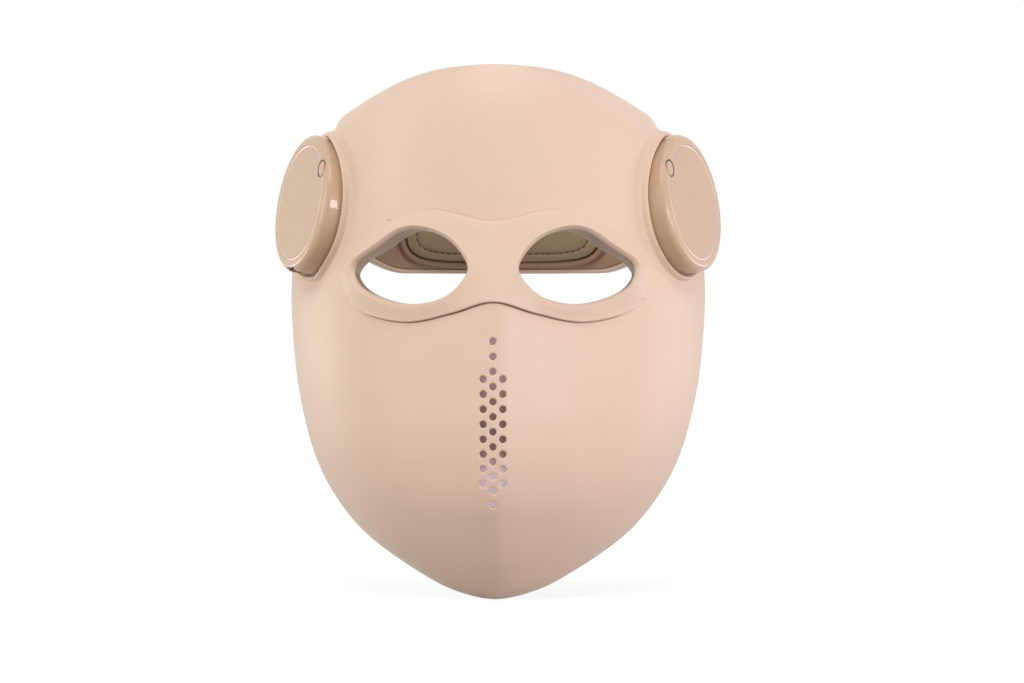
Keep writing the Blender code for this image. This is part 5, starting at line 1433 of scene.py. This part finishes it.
studio = {
    "aim": (0.0, -0.03, -0.05),
    "lamps": (
        ("topBox", (0.0, -0.80, 1.15), (0.8, 0.6), 5.0, "FFFFFF"),
        ("leftHigh", (-1.30, -0.40, 0.40), (0.5, 0.5), 3.4, "FFF5E2"),
        ("leftLow", (-1.30, -0.40, 0.03), (0.6, 0.36), 1.1, "FFF5E2"),
        ("leftFront", (-1.05, -0.95, 0.10), (0.9, 0.9), 3.9, "FFF5E2"),
        ("rightFront", (0.96, -1.04, -0.06), (0.22, 0.36), 6.0, "FFF3EC"),
        ("rightLow", (1.30, -0.40, 0.03), (0.6, 0.36), 3.9, "FFF0EA"),
        ("leftRear", (-1.15, 0.60, -0.09), (0.6, 0.14), 1.7, "FFF7E7"),
        ("rightRear", (1.15, 0.60, -0.09), (0.6, 0.14), 1.7, "FFF3EC"),
        ("leftStrip", (-1.20, -0.75, -0.06), (0.05, 0.42), 1.0, "FFFFFF"),
        ("rightStrip", (1.20, -0.75, -0.06), (0.05, 0.42), 1.0, "FFFFFF"),
    ),
    "frontLight": 0.72,
    "rearLight": 0.42,
    "ambientColour": "F7FCFF",
    "rearFrom": (-1.0, -0.05),
    "floorDrop": 0.0006,
    "floorColour": "96938F",
    "floorGlow": (0.12, 0.6, 0.80, 1.0),
    "floorRings": (0.3, 1.0, 6.0),
    "floorSteps": 96,
}


def backdropRays(tree):  # 1 for rays that show the pale backdrop: straight, mirrored or through clear pieces
    path = addNode(tree, "LightPath")
    seen = path["Is Camera Ray"]
    for ray in ("Is Glossy Ray", "Is Transmission Ray"):
        seen = addNode(tree, "Math", {0: seen, 1: path[ray]}, operation="MAXIMUM")[0]
    return seen


def makeStudio():
    for name, place, size, power, colour in studio["lamps"]:
        addLamp(name, place, studio["aim"], size, power, colour)
    world = bpy.data.worlds.new("studioWorld")
    bpy.context.scene.world = world
    world.use_nodes = True
    tree = world.node_tree
    tree.nodes.clear()
    direction = addNode(tree, "TexCoord")["Generated"]
    behind = addNode(tree, "SeparateXYZ", {"Vector": direction})["Y"]
    start, end = studio["rearFrom"]
    soft = addNode(tree, "MapRange", {"Value": behind, "From Min": start, "From Max": end,
                                      "To Min": studio["frontLight"], "To Max": studio["rearLight"]})["Result"]
    dim = addNode(tree, "Background", {"Color": linearColour(studio["ambientColour"]), "Strength": soft})[0]
    white = addNode(tree, "Background", {"Color": (1, 1, 1, 1), "Strength": 1.0})[0]
    both = addNode(tree, "MixShader", {0: backdropRays(tree), 1: dim, 2: white})[0]
    addNode(tree, "OutputWorld", {"Surface": both})


def makeFloor():  # it glows white to the camera, a little less under the object, where its shadow falls
    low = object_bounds()[0][2] - studio["floorDrop"]
    made, tree, shader, at = makeFinish("paleStudioFloor", {
        "Base Color": linearColour(studio["floorColour"]), "Roughness": 0.9, "Specular IOR Level": 0.0,
        "Emission Color": (1, 1, 1, 1)})
    away = addNode(tree, "VectorMath", {0: at}, operation="LENGTH")["Value"]
    near, far, least, most = studio["floorGlow"]
    glow = addNode(tree, "MapRange", {"Value": away, "From Min": near, "From Max": far, "To Min": least,
                                      "To Max": most})["Result"]
    glow = addNode(tree, "Math", {0: glow, 1: backdropRays(tree)}, operation="MULTIPLY")[0]
    connect(tree, shader, {"Emission Strength": glow})
    turn = 2 * math.pi * np.arange(studio["floorSteps"]) / studio["floorSteps"]
    circle = np.stack([np.cos(turn), np.sin(turn), np.zeros_like(turn)], axis=1)
    rows = [np.array([[0.0, 0.0, low]])] + [circle * radius + [0.0, 0.0, low] for radius in studio["floorRings"]]
    floor = addMesh("studioFloor", np.vstack(rows), latheFaces(rows), cleaned=False)
    floor.data.materials.append(made)


view = {
    "distance": 1.329,
    "height": -0.060,
    "aside": 0.0065,
    "turn": math.radians(1.0),
    "lens": 103.5,
    "sensor": 36.0,
    "nearest": 0.01,
}


def makeCamera():
    data = bpy.data.cameras.new("photoCamera")
    data.sensor_width = view["sensor"]
    data.lens = view["lens"]
    data.clip_start = view["nearest"]
    camera = bpy.data.objects.new("photoCamera", data)
    bpy.context.scene.collection.objects.link(camera)
    camera.location = (view["distance"] * math.sin(view["turn"]) + view["aside"],
                       -view["distance"] * math.cos(view["turn"]), view["height"])
    camera.rotation_euler = (math.pi / 2, 0.0, view["turn"])
    bpy.context.scene.camera = camera


def dress(finish, *nodes):  # a finish on frame nodes that stay as they are
    for name in nodes:
        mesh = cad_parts[name].data
        mesh.materials.clear()
        mesh.materials.append(finish)


finishes = {name: makeFinish(name, **values)[0] for name, values in plainFinishes.items()}
paint = finishes["satinPaintedAbs"]
paintedShadeAbs = finishes["paintedShadeTaupeAbs"]
silicone = finishes["mattSilicone"]
lacquer = lacqueredPod()
print("finishes made")

makeMaskShell(paint)
makeEyeSurround(paint, paintedShadeAbs)
for side in sides:
    makePodCap(side, lacquer, finishes["blackNylon"])
    makePodTrim(side, finishes["roseFoilInlay"], lacquer, finishes["brownNylonPaintedShade"])
    makeCollarRing(side, paint)
print("mask and pods made")

bandBody("bandShell", shellSection, paint, "rear_band_shell")
# The band's cover and bezel take the darker taupe: painted shade on the band's inner side
bandBody("bandCover", coverSection, paintedShadeAbs, "rear_band_cover")
makeBezel(paintedShadeAbs)
headPad, seam = makeHeadPad(khakiLeatherette())
makeStitches(seam, bondedThread())
print("rear band made")

makeSoftPatch("nosePad", "nose_pad", soft["nose"], True, silicone)
makeSoftPatch("foreheadPad", "forehead_pad", soft["brow"], False, silicone)
for side in sides:
    makeEyeShield(side, silicone)
print("soft pieces made")

dress(finishes["clearPolycarbonate"], "inner_panel")
dress(frostedDiffuser(), "vent_liner")
dress(ledBoard(), "led_board_forehead", "led_board_cheek_left", "led_board_cheek_right", "led_board_chin")
dress(podBoard(), "main_board", "driver_board")
dress(finishes["aluminiumLaminate"], "battery_cell_left", "battery_cell_right")
dress(finishes["sparkGrainAbs"], "pod_housing_left", "pod_housing_right", "pad_board")
dress(finishes["blackNylon"], "button_switch_left", "button_switch_right", "buzzer")
dress(finishes["naturalNylon"], "friction_washer_left", "friction_washer_right")
dress(finishes["nickelPlatedSteel"], "pivot_pin_left", "pivot_pin_right", "charge_socket",
      *[f"{kind}_screw_{i}" for kind in ("panel", "band") for i in range(1, 5)])
dress(paint, "arm_left", "arm_right")
dress(finishes["greyPvcSheath"], "wire_harness")
print("frame nodes dressed")

makeStudio()
makeFloor()
makeCamera()
bpy.context.scene.view_settings.view_transform = "Standard"
print("scene ready")
